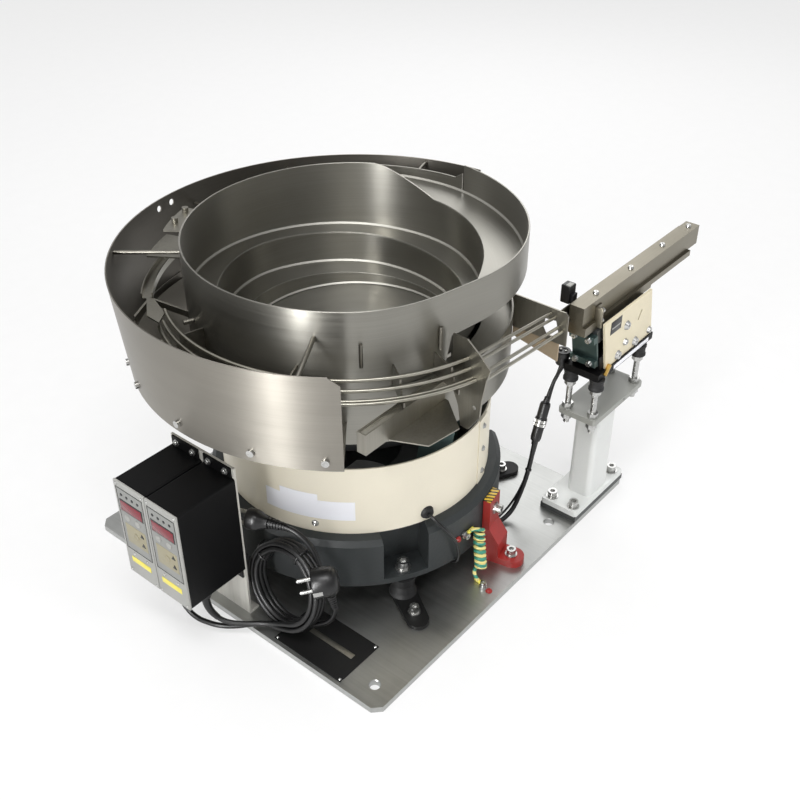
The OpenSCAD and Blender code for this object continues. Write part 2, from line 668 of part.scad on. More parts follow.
// ---- linear feeder ----
module hex_nut(d, h) difference() {
    cylinder(h = h, d = 1.85 * d, $fn = 6);
    translate([0, 0, -1]) cylinder(h = h + 2, d = d + 0.2, $fn = 32);
}

module feeder_studs() color(BRIGHT) each_stud(0) {
    translate([0, 0, ped_top - plate_t - stud_drop]) cylinder(h = mount_z - ped_top + plate_t + stud_drop, d = stud_d, $fn = 32);
    translate([0, 0, ped_top - plate_t - 9]) hex_nut(stud_d, 7);
    translate([0, 0, ped_top + 0.2]) hex_nut(stud_d, 7);
    translate([0, 0, mount_z - 8]) hex_nut(stud_d, 7);
}

module feeder_mounts() color(BLACK) each_stud(mount_z)
    rotate_extrude($fn = 48) polygon([
        [0, 0], [mount_r + 1, 0], [mount_r + 1, 3], [mount_r, 5], [mount_r, mount_h - 5],
        [mount_r + 1, mount_h - 3], [mount_r + 1, mount_h], [0, mount_h]]);

feeder_y = ped_y - feeder_w / 2;
slab_x = top_x;
module feeder_base() color(BLACK) {
    translate([slab_x, feeder_y - 5, feeder_z]) cube([feeder_l, feeder_w + 10, slab_t]);
    leaning(-9, side_l - 6, side_z, side_z + block_h, feeder_w);
}

// A block whose ends lean with the leaf springs, between two distances behind the
// foot of the side plates
lean_a = atan(spring_lean / side_h);
function lean(z) = -spring_lean * (z - side_z) / side_h;
module leaning(x0, x1, z0, z1, w) translate([side_x, ped_y + w / 2, 0]) rotate([90, 0, 0])
    linear_extrude(w) polygon([[x0 + lean(z0), z0], [x1 + lean(z0), z0],
        [x1 + lean(z1), z1], [x0 + lean(z1), z1]]);

leaf_z0 = side_z + 8;
leaf_z1 = upper_z + 14;
leaf_w = feeder_w - 4;
clamp_h = 10;
module feeder_springs() color(SPRING) {
    for (x = [-12, side_l - 6]) leaning(x, x + 3, leaf_z0, leaf_z1, leaf_w);
    for (x = [-18, side_l - 3], z = [leaf_z0 + 1, leaf_z1 - clamp_h - 1])
        leaning(x, x + 6, z, z + clamp_h, leaf_w);
}

module feeder_block() color(DARK) leaning(-9, side_l - 6, upper_z, cradle_z, feeder_w - 6);

// Places on a side plate: distance from the feeder's end, height, kind of screw
plate_screws = [[43, 45, 1], [44, 20, 0], [72, 8, 1], [109, 8, 0], [28, 8, 1]];
slot_c = [77, 45];
module side_plate() rotate([90, 0, 0]) linear_extrude(side_t) difference() {
    polygon([[0, 0], [side_l, 0], [side_l - spring_lean, side_h], [-spring_lean, side_h]]);
    for (p = plate_screws) translate([p.x, p.y]) circle(d = 5.4);
    hull() for (k = [-1, 1]) translate([slot_c.x + 3 * k, slot_c.y + 5 * k]) circle(d = 3.4, $fn = 24);
}

module side_plate_front() color(CREAM)
    translate([side_x, ped_y - feeder_w / 2, side_z]) side_plate();
module side_plate_back() color(CREAM)
    translate([side_x, ped_y + feeder_w / 2 + side_t, side_z]) side_plate();

module feeder_screws() color(BRIGHT) {
    for (side = [-1, 1], p = plate_screws)
        translate([side_x + p.x, ped_y + side * (feeder_w / 2 + side_t), side_z + p.y])
            rotate([-90 * side, 0, 0]) screw(5, side_t, p.z == 1 ? 13 : 10);
    for (x = [-18, side_l + 3], z = [leaf_z0 + 1 + clamp_h / 2, leaf_z1 - 1 - clamp_h / 2], y = [-1, 1])
        translate([side_x + x + lean(z), ped_y + y * 10, z])
            rotate([0, x < 0 ? -90 - lean_a : 90 - lean_a, 0]) translate([0, 0, 0.05]) screw(5, 0, 9);
    for (x = screw_x) translate([track_x + x, track_y + track_w / 2, track_z + track_h]) screw(4, 0, 8);
}

// Button of diameter w on a seat at z = 0 with a short shank of diameter d and length l
module screw(d, l, w) {
    difference() {
        cylinder(h = 0.7 * d, d1 = w, d2 = 0.75 * w, $fn = 24);
        translate([0, 0, 0.3 * d]) cylinder(h = d, d = 0.55 * d, $fn = 6);
    }
    if (l > 0) translate([0, 0, -l]) cylinder(h = l + EPS, d = d, $fn = 24);
}

screw_x = [43, 128, 211, 285];
module track_bar() color(STEEL) translate([track_x, track_y, track_z]) difference() {
    cube([track_l, track_w, track_h]);
    translate([-1, track_w - 3, 4]) cube([track_l + 2, 4, 3]);
}

module track_strip() color(STEEL)
    translate([track_x - 12, track_y + track_w + slot_w, track_z])
        cube([track_l + 4, 2, track_h - 6]);

module track_base() color(DARK) translate([track_x + 1, track_y - 4, cradle_z]) difference() {
    cube([track_l - 26, track_w + slot_w + 6, cradle_h]);
    translate([feeder_l + 24, -1, -1]) cube([track_l, track_w + slot_w + 8, 5]);
}

bracket_reach = 14;
module end_bracket() color(WHITE) translate([track_x + 3, 0, 0]) rotate([90, 0, 90])
    linear_extrude(25) translate([track_y - 0.2, track_z]) polygon([
        [0, track_h + 8], [-bracket_reach, track_h + 8], [-bracket_reach, -12],
        [-bracket_reach + 2, -12], [-bracket_reach + 2, track_h + 6], [-2, track_h + 6],
        [-2, 4], [0, 4]]);

sensor_h = 31;
sensor_y = track_y + track_w + slot_w + 2.2;
module sensor() color(BLACK) {
    translate([track_x + 2, sensor_y + 4, track_z + track_h - 6]) linear_extrude(sensor_h)
        rounded(27, 13, 4);
    translate([track_x + 4, sensor_y, track_z + 2]) cube([20, 4 + EPS, track_h - 2]);
}

// ---- controllers ----
case_y = [bracket_y + case_gap / 2, bracket_y - case_w - case_gap / 2];
module bracket_plate() color(WHITE) difference() {
    translate([bracket_x, bracket_y, 0]) {
        translate([-bracket_t, -bracket_w / 2, base_t]) cube([bracket_t, bracket_w, bracket_h]);
        translate([-EPS, -bracket_w / 2, base_t]) cube([12, bracket_w, bracket_t]);
    }
    for (y = [-40, 40]) translate([bracket_x + 5.5, bracket_y + y, 0]) cylinder(h = 20, d = 5);
}

module case_shell(y) color(BLACK) translate([case_x, y, case_z]) {
    translate([-case_d, 0, 0]) rotate([90, 0, 90]) linear_extrude(case_d) rounded(case_w, case_h, 3);
    // flanges with two slotted holes each
    for (z = [-flange_h, case_h]) difference() {
        translate([-flange_t, 4, z - EPS]) cube([flange_t, case_w - 8, flange_h + 2 * EPS]);
        for (k = [-14, 14]) translate([-flange_t - 1, case_w / 2 + k, z + flange_h / 2])
            rotate([0, 90, 0]) cylinder(h = flange_t + 2, d = 4.5, $fn = 24);
    }
}
module case_1() case_shell(case_y[0]);
module case_2() case_shell(case_y[1]);

// Front panel with the frame of its display, its keys and one adjusting screw
module front_panel(y) color(WHITE) translate([case_x - case_d - panel_t, y, case_z]) {
    rotate([90, 0, 90]) linear_extrude(panel_t) rounded(case_w, case_h, 3);
    rotate([90, 0, -90]) translate([-case_w, 0, 0]) {
        translate([8, case_h - 55, -EPS]) linear_extrude(1.5) difference() {
            square([case_w - 16, 20]);
            translate([2, 2]) square([case_w - 20, 16]);
        }
        for (x = [12, 22, 32], z = [case_h - 72, case_h - 84])
            translate([x, z, -EPS]) cylinder(h = 1.2, d = 7, $fn = 24);
    }
}
module panel_1() front_panel(case_y[0]);
module panel_2() front_panel(case_y[1]);

gland_h = 18;
gland_x = [cord_1[0].x, cord_2[0].x];
module cord_glands() color(BLACK) for (p = [cord_1[0], cord_2[0]])
    translate([p.x, p.y, case_z - gland_h]) rotate_extrude($fn = 32) polygon([
        [cord_r + 0.2, 0], [cord_r + 3, 0], [cord_r + 3, 8], [11, 9], [11, gland_h - 4],
        [9, gland_h - 4], [9, gland_h], [cord_r + 0.2, gland_h]]);

// ---- cords ----
module power_cords() color(BLACK) {
    for (route = [cord_1, cord_2, cord_3, cord_4]) cord(route, cord_r);
}

module cord_coil() color(BLACK) translate(coil_c) rotate([0, 90 - coil_lean, 182])
    rotate_extrude($fn = 48) translate([coil_r, 0]) circle(r = coil_w / 2, $fn = 16);

// Round plug with two pins, from its tail towards its pins
module plug(d, l) {
    rotate_extrude($fn = 32) polygon([
        [0, 0], [cord_r + 1, 0], [cord_r + 2, 0.4 * l], [0.38 * d, 0.45 * l],
        [d / 2, 0.6 * l], [d / 2, l], [0, l]]);
    for (k = [-1, 1]) translate([k * 9.5, 0, l - EPS]) {
        cylinder(h = 18, d = 4.8, $fn = 24);
        translate([0, 0, 18]) sphere(d = 4.8, $fn = 24);
    }
}
// Each plug: the centre of its face and the way its pins point
plug_face = [[-184, -133, 113.5], [-166, -72, 148]];
plug_way = [[-0.71, 0.68, -0.16], [0, -1, 0.1]];
module aimed_plug(i, d, l) {
    w = plug_way[i];
    translate(plug_face[i]) rotate([0, acos(w.z / norm(w)), atan2(w.y, w.x)])
        translate([0, 0, -l]) rotate([0, 0, 90]) plug(d, l);
}
module plug_1() color(BLACK) aimed_plug(0, 36, 30);
module plug_2() color(BLACK) aimed_plug(1, 26, 36);

connector_p = [[216, -180, 172], [196, -180, 118]];
module connectors() color(BLACK) {
    run = connector_p[1] - connector_p[0];
    translate(connector_p[0]) rotate([0, acos(run.z / norm(run)), atan2(run.y, run.x)])
        rotate_extrude($fn = 32) polygon([
            [0, 0], [6, 0], [8, 8], [8, 26], [9, 26], [9, 34], [8, 34],
            [8, 52], [6, norm(run)], [0, norm(run)]]);
}

module signal_cable() color(BLACK) {
    cord(signal_route, cable_r);
    cord(feeder_route, cable_r - 1.5);
}
feeder_route = [
    [234, -190, 225], [233, -185, 212], [230, -181, 198], [223, -180, 185], [216.8, -180, 173.4]];

module drum_cable() color(BLACK) cord(drum_route, drum_cable_r);

// Curly ground wire between a lug on the casting and a lug on the base plate
module ground_wire() color([0.24, 0.63, 0.55]) {
    cord(ground_1, 2);
    cord(ground_2, coil_d / 2);
    cord(ground_3, 2);
    polar(ground_a, cast_r + 0.2, ground_z) rotate([0, 90, 0]) lug();
    translate([ground_p.x, ground_p.y, base_t]) rotate([0, 0, -12]) lug();
}
coil_d = 12;
ground_1 = [[34.5, -196.2, 78], [39, -198, 79], [45, -199, 77], [49, -198, 72]];
ground_2 = [[50, -197, 71], [47, -201, 57], [41, -207, 42], [34, -214, 27]];
ground_3 = [[34, -214, 27.5], [31, -214, 20], [28, -214, 14], [27, -215.5, 11.6]];

// Ring lug for a small screw; its barrel points along +Y and holds the wire's end
module lug() {
    difference() {
        union() {
            cylinder(h = 1.4, r = 5);
            translate([-3, 0, 0]) cube([6, 9, 1.4]);
        }
        translate([0, 0, -1]) cylinder(h = 4, r = 2.7);
    }
    translate([0, 6, 3.4]) rotate([-90, 0, 0]) cylinder(h = 4, r = 2.4, $fn = 24);
}

// Transport lock: an angle bracket from the base plate to the casting
lock_r = cast_r + 0.3;
lock_w = 30;
module locking_bracket() color(RED) polar(lock_a, 0) difference() {
    intersection() {
        rotate([90, 0, 0]) translate([0, 0, -lock_w / 2]) linear_extrude(lock_w) polygon([
            [lock_r, base_t], [lock_r, lock_z + 18], [lock_r + 10, lock_z + 18],
            [lock_r + 10, cast_z + 18], [lock_r + 24, base_t + 32], [lock_r + 24, base_t + 10],
            [lock_r + 54, base_t + 10], [lock_r + 54, base_t]]);
        hull() {
            translate([lock_r - 1, -lock_w / 2, 0]) cube([30, lock_w, 200]);
            translate([lock_r + 54 - lock_w / 2, 0, 0]) cylinder(h = 40, d = lock_w);
        }
    }
    translate([lock_bolt_r, 0, 0]) cylinder(h = 40, d = 8.6);
    translate([lock_r - 1, 0, lock_z]) rotate([0, 90, 0]) cylinder(h = 20, d = 8.6);
}

base_plate();
name_plate();
name_plate_rivets();
drive_casting();
foot_straps();
foot_rubbers();
drive_bolts();
drum();
drum_screws();
cable_grommet();
spring_packs();
drive_magnet();
drive_top();
bowl_steps();
bowl_skirt();
guard();
guard_screws();
pan_floor();
stay_rods();
guide_rods();
exit_rods();
track_plates();
return_chute();
exit_bracket();
exit_plate();
exit_guard();
foot_spacer();
foot_plate();
column();
top_plate();
pedestal_bolts();
feeder_studs();
feeder_mounts();
feeder_base();
feeder_springs();
feeder_block();
side_plate_front();
side_plate_back();
feeder_screws();
track_bar();
track_strip();
track_base();
end_bracket();
sensor();
bracket_plate();
case_1();
case_2();
panel_1();
panel_2();
cord_glands();
power_cords();
cord_coil();
plug_1();
plug_2();
signal_cable();
connectors();
drum_cable();
ground_wire();
locking_bracket();
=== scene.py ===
# %% [markdown]
# # A vibratory bowl feeder
# A vibratory bowl feeder stands loose parts in line. A cast drive trembles a steel bowl, the parts
# climb its spiral track one behind the other, and a short straight track takes them away.
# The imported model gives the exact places. This notebook dresses it: finishes for every piece,
# and new pieces where a plain solid is too simple, such as cables, plugs and rolled sheet.

# %% Load the frame
import math

import bpy
from mathutils import Matrix, Vector


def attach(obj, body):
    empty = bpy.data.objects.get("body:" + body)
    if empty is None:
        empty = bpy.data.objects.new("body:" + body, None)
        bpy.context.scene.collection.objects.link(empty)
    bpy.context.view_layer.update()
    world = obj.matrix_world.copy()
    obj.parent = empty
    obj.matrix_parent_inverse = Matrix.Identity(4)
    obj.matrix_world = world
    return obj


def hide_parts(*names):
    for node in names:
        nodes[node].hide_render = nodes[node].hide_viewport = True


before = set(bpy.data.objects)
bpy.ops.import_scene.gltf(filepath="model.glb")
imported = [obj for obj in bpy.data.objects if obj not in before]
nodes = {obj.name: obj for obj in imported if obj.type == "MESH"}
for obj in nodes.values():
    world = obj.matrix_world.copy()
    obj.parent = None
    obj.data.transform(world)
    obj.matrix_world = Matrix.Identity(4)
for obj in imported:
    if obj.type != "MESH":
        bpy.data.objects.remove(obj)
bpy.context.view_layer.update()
scene = bpy.context.scene
MM = 0.001
AXIS = Vector((0.040, 0.0, 0.0))  # the drive and the bowl turn about this upright line


# %% [markdown]
# ## The camera
# The camera is set by where it stands and by two directions: where it looks, and what is to its
# right. Three directions at right angles make a rotation matrix, which is steadier than three
# angles. The lens is a little longer than normal, so near and far parts keep their proportions.


ahead = Vector((0.62941, 0.51814, -0.57911)).normalized()
right = Vector((0.6361, -0.7716, 0.001))
right = (right - ahead * right.dot(ahead)).normalized()
up = right.cross(ahead)
lens = bpy.data.cameras.new("camera")
lens.lens, lens.sensor_width = 47.17, 36
lens.shift_x, lens.shift_y = -0.00683, 0.00941
lens.clip_start, lens.clip_end = 0.05, 50
camera = bpy.data.objects.new("camera", lens)
scene.collection.objects.link(camera)
camera.matrix_world = Matrix((
    (right.x, up.x, -ahead.x, -0.7761), (right.y, up.y, -ahead.y, -0.7563),
    (right.z, up.z, -ahead.z, 0.9662), (0, 0, 0, 1)))
scene.camera = camera
print("camera at", tuple(round(x, 3) for x in camera.location))


# %% [markdown]
# ## Sums on surfaces
# A procedural finish is a sum that is worked out at each point of a surface. In the node editor a
# sum soon becomes a wide web of Math nodes, so here a small class wraps a socket and lets Python
# write the sum: `1 - mask * 0.3` adds two Math nodes. Colours never pass through it, because a
# Math node turns a colour grey; they go through Mix nodes.

# %% A socket that can be summed
class Value:
    def __init__(self, finish, socket):
        self.finish, self.socket = finish, socket

    def sum(self, kind, *others):
        return self.finish.node("ShaderNodeMath", {"operation": kind}, dict(enumerate(others)))

    def __add__(self, other): return self.sum("ADD", self, other)
    def __radd__(self, other): return self.sum("ADD", other, self)
    def __sub__(self, other): return self.sum("SUBTRACT", self, other)
    def __rsub__(self, other): return self.sum("SUBTRACT", other, self)
    def __mul__(self, other): return self.sum("MULTIPLY", self, other)
    def __rmul__(self, other): return self.sum("MULTIPLY", other, self)
    def __truediv__(self, other): return self.sum("DIVIDE", self, other)


# %% A finish with its node tree
class Finish:
    """One material. node() adds any node: its settings first, then the values of its sockets."""

    def __init__(self, name, rough=0.5, metal=0.0, **fixed):
        self.material = bpy.data.materials.new(name)
        self.material.use_nodes = True
        self.tree = self.material.node_tree
        self.shader = next(n for n in self.tree.nodes if n.type == "BSDF_PRINCIPLED")
        self.shader.inputs["Roughness"].default_value = rough
        self.shader.inputs["Metallic"].default_value = metal
        for socket, value in fixed.items():
            self.shader.inputs[socket.replace("_", " ")].default_value = value
        self.place = self.node("ShaderNodeTexCoord", output="Object")

    def node(self, kind, settings=None, values=None, output=0):
        made = self.tree.nodes.new(kind)
        for key, value in (settings or {}).items():
            if key == "stops":
                ramp = made.color_ramp.elements
                while len(ramp) < len(value):
                    ramp.new(0.5)
                for stop, (at, colour) in zip(ramp, value):
                    stop.position, stop.color = at, (*colour, 1)
            else:
                setattr(made, key, value)
        for key, value in (values or {}).items():
            if isinstance(value, Value):
                self.tree.links.new(value.socket, made.inputs[key])
            else:
                made.inputs[key].default_value = value
        return Value(self, made.outputs[output])

    def give(self, socket, value):
        self.tree.links.new(value.socket, self.shader.inputs[socket])
        return self

    def split(self, vector=None):
        parts = self.node("ShaderNodeSeparateXYZ", values={0: vector or self.place})
        node = parts.socket.node
        return [Value(self, node.outputs[i]) for i in range(3)]

    def joined(self, x, y, z):
        return self.node("ShaderNodeCombineXYZ", values={0: x, 1: y, 2: z})

    def noise(self, scale, detail=2.0, vector=None, rough=0.5):
        return self.node("ShaderNodeTexNoise", values={
            "Vector": vector or self.place, "Scale": scale, "Detail": detail, "Roughness": rough})

    def ramp(self, value, *stops):
        return self.node("ShaderNodeValToRGB", {"stops": stops}, {0: value})

    def span(self, value, low, high, to_low=0.0, to_high=1.0):
        return self.node("ShaderNodeMapRange", values={
            0: value, 1: low, 2: high, 3: to_low, 4: to_high})

    def mix(self, share, first, second, how="MIX"):
        return self.node("ShaderNodeMix", {"data_type": "RGBA", "blend_type": how}, {
            0: share, 6: first, 7: second}, output=2)

    def bump(self, height, strength=0.2, depth=0.001):
        return self.give("Normal", self.node("ShaderNodeBump", values={
            "Strength": strength, "Distance": depth, "Height": height}))


def rgb(red, green, blue, alpha=1.0):
    """A colour as a screen shows it, 0 to 255, as the linear values that shaders use."""
    return (*(c / 255 / 12.92 if c <= 10 else ((c / 255 + 0.055) / 1.055) ** 2.4
              for c in (red, green, blue)), alpha)


def shades(colour, *factors):
    return [tuple(min(1.0, c * f) for c in colour[:3]) for f in factors]


print("finishes can be written")

# %% [markdown]
# ## Rolled and brushed steel
# The bowl's sheets are brushed round and round before they are welded, so the fine lines run
# along the circle, on the walls as well as on the flat tracks. Noise that is stretched thin does
# this: it hardly changes along x and y, and changes fast with height plus radius. The same
# pattern then gives hoops on a wall and rings on a floor. Reflections spread across the lines,
# up and down a wall, so a lamp shows in it as an upright band. The shader's anisotropy does that,
# turned by a quarter. Flat pieces are brushed along one direction, and drawn wire along none.

# %% Brushed finishes
def brushed_round(name, colour, rough=0.3, pitch=900.0, lines=0.2, aniso=0.85, inner=1.0):
    """inner darkens the faces that look at the axis: painted shade for the inside of a sheet that lies in
    shade.
    """
    f = Finish(name, rough, 1.0, Anisotropic=aniso, Anisotropic_Rotation=0.25)
    x, y, z = f.split()
    out = f.node("ShaderNodeVectorMath", {"operation": "LENGTH"}, {
        0: f.joined(x - AXIS.x, y, 0.0)}, output="Value")
    fine = f.noise(1.0, 3.0, f.joined(x * 5.0, y * 5.0, (z + out * 0.83) * pitch), 0.65)
    broad = f.noise(1.0, 1.0, f.joined(x * 9.0, y * 9.0, (z + out * 0.83) * 38.0))
    smear = f.noise(7.0, 3.0)
    tone = fine * 0.35 + broad * 0.2 + smear * 0.45
    dark, mid, light = shades(colour, 0.84, 1.0, 1.14)
    shown = f.ramp(tone, (0.30, dark), (0.52, mid), (0.74, light))
    # painted shade: the faces that look at the axis are multiplied by inner
    if inner < 1.0:
        facing = f.node("ShaderNodeTexCoord", output="Normal")
        outward = f.node("ShaderNodeVectorMath", {"operation": "DOT_PRODUCT"}, {
            0: facing, 1: f.joined(x - AXIS.x, y, 0.0)}, output="Value") / (out + 0.001)
        shown = f.mix(f.span(outward, -0.6, -0.3, 1.0, 0.0), shown,
                      (inner, inner, inner, 1), "MULTIPLY")
    f.give("Base Color", shown)
    f.give("Roughness", f.span(fine * 0.6 + smear * 0.4, 0.25, 0.75, rough - 0.05, rough + 0.10))
    return f.bump(fine, lines, 0.0001)


def brushed_along(name, colour, rough=0.32, along=(1, 0, 0), pitch=420.0, lines=0.25, metal=1.0):
    """along marks the axis that the lines follow, and (0, 0, 0) leaves an even grain."""
    f = Finish(name, rough, metal)
    x, y, z = f.split()
    fine = f.noise(1.0, 3.0, f.joined(*[
        s * (6.0 if a else pitch) for s, a in zip((x, y, z), along)]), 0.6)
    smear = f.noise(9.0, 4.0)
    spots = f.noise(60.0, 2.0)
    dark, mid, light = shades(colour, 0.84, 1.0, 1.12)
    f.give("Base Color", f.ramp(fine * 0.45 + smear * 0.4 + spots * 0.15,
                                (0.32, dark), (0.5, mid), (0.7, light)))
    f.give("Roughness", f.span(smear * 0.7 + fine * 0.3, 0.3, 0.7, rough - 0.06, rough + 0.12))
    return f.bump(fine, lines, 0.00015)


bowl_steel = brushed_round("bowl_steel", rgb(152, 150, 143), 0.34)
# the guard's faces that look at the axis carry painted shade at half brightness
guard_steel = brushed_round("guard_steel", rgb(148, 144, 136), 0.36, inner=0.5)
weld_steel = brushed_round("weld_steel", rgb(166, 164, 157), 0.42, 300.0, 0.1, 0.0)
stay_steel = brushed_along("stay_steel", rgb(132, 129, 121), 0.36, (0, 0, 0), 60.0, 0.04)
rod_steel = brushed_along("rod_steel", rgb(168, 165, 154), 0.34, (0, 0, 0), 60.0, 0.04)
track_steel = brushed_along("track_steel", rgb(134, 129, 116), 0.34)
base_metal = brushed_along("base_metal", rgb(176, 177, 175), 0.36, (0, 1, 0), 260.0, 0.2)
plate_steel = brushed_along("plate_steel", rgb(150, 147, 138), 0.34, (0, 0, 1), 300.0)
pale_plate = brushed_along("pale_plate", rgb(214, 212, 204), 0.42, (0, 0, 1), 300.0, 0.15, 0.25)
print(len(bpy.data.materials), "finishes of brushed metal")

# %% [markdown]
# ## Paint, plastic, rubber
# Painted castings are never smooth: the skin of the casting shows through the paint as soft
# lumps, and dust sits in it. Sheet metal paint has a faint orange peel. Moulded plastic has a
# fine even grain. All three are one recipe with other numbers: a slow noise for the tone, a fast
# noise for the bump, and a roughness that follows both.

# %% Painted and moulded finishes
def coated(name, colour, rough=0.45, grain=400.0, lumps=0.15, depth=0.0003,
           tones=(0.88, 1.0, 1.08), cloud=14.0, metal=0.0, **fixed):
    f = Finish(name, rough, metal, **fixed)
    slow = f.noise(cloud, 4.0)
    fast = f.noise(grain, 2.0)
    dark, mid, light = shades(colour, *tones)
    f.give("Base Color", f.ramp(slow * 0.7 + fast * 0.3, (0.34, dark), (0.5, mid), (0.68, light)))
    f.give("Roughness", f.span(slow * 0.6 + fast * 0.4, 0.3, 0.7, rough - 0.06, rough + 0.08))
    return f.bump(fast, lumps, depth)


cream_paint = coated("cream_paint", rgb(235, 228, 209), 0.38, 900.0, 0.08, tones=(0.96, 1.0, 1.03))
casting_paint = coated("casting_paint", rgb(44, 48, 49), 0.52, 260.0, 0.5, 0.0006, (0.8, 1.0, 1.15))
black_paint = coated("black_paint", rgb(20, 20, 20), 0.46, 700.0, 0.2, Specular_IOR_Level=0.3)
case_paint = coated("case_paint", rgb(11, 11, 12), 0.42, 1100.0, 0.3, 0.0002, Specular_IOR_Level=0.15)
pedestal_paint = coated("pedestal_paint", rgb(220, 222, 220), 0.36, 800.0, 0.08, tones=(0.94, 1.0, 1.03))
# painted shade: the top plate is painted darker than the column, for the feeder's shadow that falls on it
top_plate_painted_shade = coated("top_plate_painted_shade", rgb(150, 151, 146), 0.4, 800.0, 0.08, tones=(0.92, 1.0, 1.04))
red_paint = coated("red_paint", rgb(156, 38, 34), 0.36, 300.0, 0.3, tones=(0.8, 1.0, 1.12))
rubber = coated("rubber", rgb(24, 24, 25), 0.62, 800.0, 0.3)
black_plastic = coated("black_plastic", rgb(20, 20, 21), 0.34, 900.0, 0.12)
cord_skin = coated("cord_skin", rgb(14, 14, 15), 0.38, 700.0, 0.15)
grey_plastic = coated("grey_plastic", rgb(164, 164, 160), 0.42, 900.0, 0.1, tones=(0.95, 1.0, 1.03))
key_plastic = coated("key_plastic", rgb(156, 149, 124), 0.45, 900.0, 0.1, tones=(0.94, 1.0, 1.04))
tan_sheet = coated("tan_sheet", rgb(176, 158, 132), 0.5, 300.0, 0.15)
side_paint = coated("side_paint", rgb(224, 214, 186), 0.38, 700.0, 0.1, tones=(0.93, 1.0, 1.04))
blank_label = coated("blank_label", rgb(246, 247, 253), 0.4, 1200.0, 0.04, tones=(0.97, 1.0, 1.02))
black_label = coated("black_label", rgb(30, 30, 31), 0.3, 1200.0, 0.04)
yellow_label = coated("yellow_label", rgb(240, 226, 92), 0.32, 1200.0, 0.05, tones=(0.95, 1.0, 1.03))
yellow_metal = coated("yellow_metal", rgb(196, 160, 84), 0.3, 300.0, 0.1, metal=0.8)
zinc = coated("zinc", rgb(190, 190, 188), 0.28, 500.0, 0.12, tones=(0.82, 1.0, 1.1), cloud=160.0, metal=1.0)
dark_metal = coated("dark_metal", rgb(74, 76, 76), 0.42, 400.0, 0.25, metal=0.6)
spring_steel = coated("spring_steel", rgb(74, 92, 90), 0.34, 500.0, 0.15, metal=0.7)
print(len(bpy.data.materials), "finishes so far")


# %% [markdown]
# ## Giving the CAD pieces their finishes
# A piece that already has its right shape only needs its material slots filled. The table goes
# from the finish to the pieces, so a missing piece is easy to see in the printed line.

# %% Finishes of the CAD pieces
worn = {
    base_metal: "base_plate",
    black_paint: "name_plate foot_straps",
    zinc: "name_plate_rivets drive_bolts drum_screws guard_screws pedestal_bolts feeder_studs "
          "feeder_screws",
    casting_paint: "drive_casting",
    cream_paint: "drum",
    rubber: "cable_grommet foot_rubbers feeder_mounts",
    dark_metal: "drive_magnet foot_spacer feeder_block",
    spring_steel: "spring_packs feeder_springs",
    black_plastic: "drive_top cord_glands sensor cord_coil power_cords plug_1 plug_2 connectors",
    cord_skin: "signal_cable drum_cable ground_wire",
    bowl_steel: "bowl_steps bowl_skirt",
    guard_steel: "guard pan_floor",
    rod_steel: "guide_rods exit_rods",
    stay_steel: "stay_rods",
    plate_steel: "track_plates exit_bracket exit_plate return_chute end_bracket",
    pale_plate: "bracket_plate",
    tan_sheet: "exit_guard",
    pedestal_paint: "foot_plate column",
    # the top plate takes the darker paint, which is painted shade
    top_plate_painted_shade: "top_plate",
    case_paint: "case_1 case_2 feeder_base",
    grey_plastic: "panel_1 panel_2",
    side_paint: "side_plate_front side_plate_back",
    track_steel: "track_bar track_strip track_base",
    red_paint: "locking_bracket",
}
dressed = set()
for finish, names in worn.items():
    for name in names.split():
        if name in nodes:
            node = nodes[name]
            node.data.materials.clear()
            node.data.materials.append(finish.material)
            dressed.add(name)
print("undressed:", sorted(set(nodes) - dressed))


# %% [markdown]
# ## Floor and light
# Steel shows what stands round it, so the light is part of the finish. Tall soft lamps give
# upright bright bands on the bowl, and a sky that is darkest a third of the way up gives the grey
# between them. Two lamps take part in one kind of reflection only: the strip brightens its band
# without lighting the paint, and the fill lights the paint without a second band. The floor is
# one large flat sheet, because the camera looks down on it. It glows a little where it is seen
# directly or in a mirror, so it stays pale and still holds the shadow.

# %% Floor
scene.view_settings.view_transform = "Standard"
floor_look = Finish("floor_look", 0.9)
grain = floor_look.noise(30.0, 3.0)
floor_look.give("Base Color", floor_look.ramp(
    grain, (0.3, (0.86, 0.86, 0.86)), (0.7, (0.88, 0.88, 0.88))))
rays = floor_look.node("ShaderNodeLightPath").socket.node.outputs
by_eye, by_gloss, by_glass = (Value(floor_look, rays[f"Is {kind} Ray"])
                              for kind in ("Camera", "Glossy", "Transmission"))
seen = by_eye + by_gloss + by_glass
glow = floor_look.node("ShaderNodeEmission", values={"Color": (1, 1, 1, 1), "Strength": 1.0})
paler = floor_look.node("ShaderNodeMixShader", values={0: seen * 0.55, 2: glow})
floor_look.tree.links.new(floor_look.shader.outputs[0], paler.socket.node.inputs[1])
out = next(n for n in floor_look.tree.nodes if n.type == "OUTPUT_MATERIAL")
floor_look.tree.links.new(paler.socket, out.inputs["Surface"])
bpy.ops.object.select_all(action="DESELECT")
bpy.ops.mesh.primitive_plane_add(size=16, location=(0, 0, -0.0005))
floor = bpy.context.object
floor.name = "floor"
floor.data.materials.append(floor_look.material)
print("floor", floor.dimensions.x, "m wide")

# %% Sky and lamps
world = scene.world or bpy.data.worlds.new("studio")
scene.world = world
world.use_nodes = True
sky = world.node_tree
way = sky.nodes.new("ShaderNodeTexCoord")
height = sky.nodes.new("ShaderNodeSeparateXYZ")
tones = sky.nodes.new("ShaderNodeValToRGB")
sky.links.new(way.outputs["Generated"], height.inputs[0])
sky.links.new(height.outputs[2], tones.inputs[0])
for at in (0.16, 0.34):
    tones.color_ramp.elements.new(at)
for stop, (at, grey) in zip(tones.color_ramp.elements, [(0.0, 0.76), (0.16, 0.66), (0.34, 0.26)]):
    stop.position, stop.color = at, (grey, grey * 0.995, grey * 0.985, 1)
backdrop = next(n for n in sky.nodes if n.type == "BACKGROUND")
sky.links.new(tones.outputs[0], backdrop.inputs["Color"])
backdrop.inputs["Strength"].default_value = 1.0


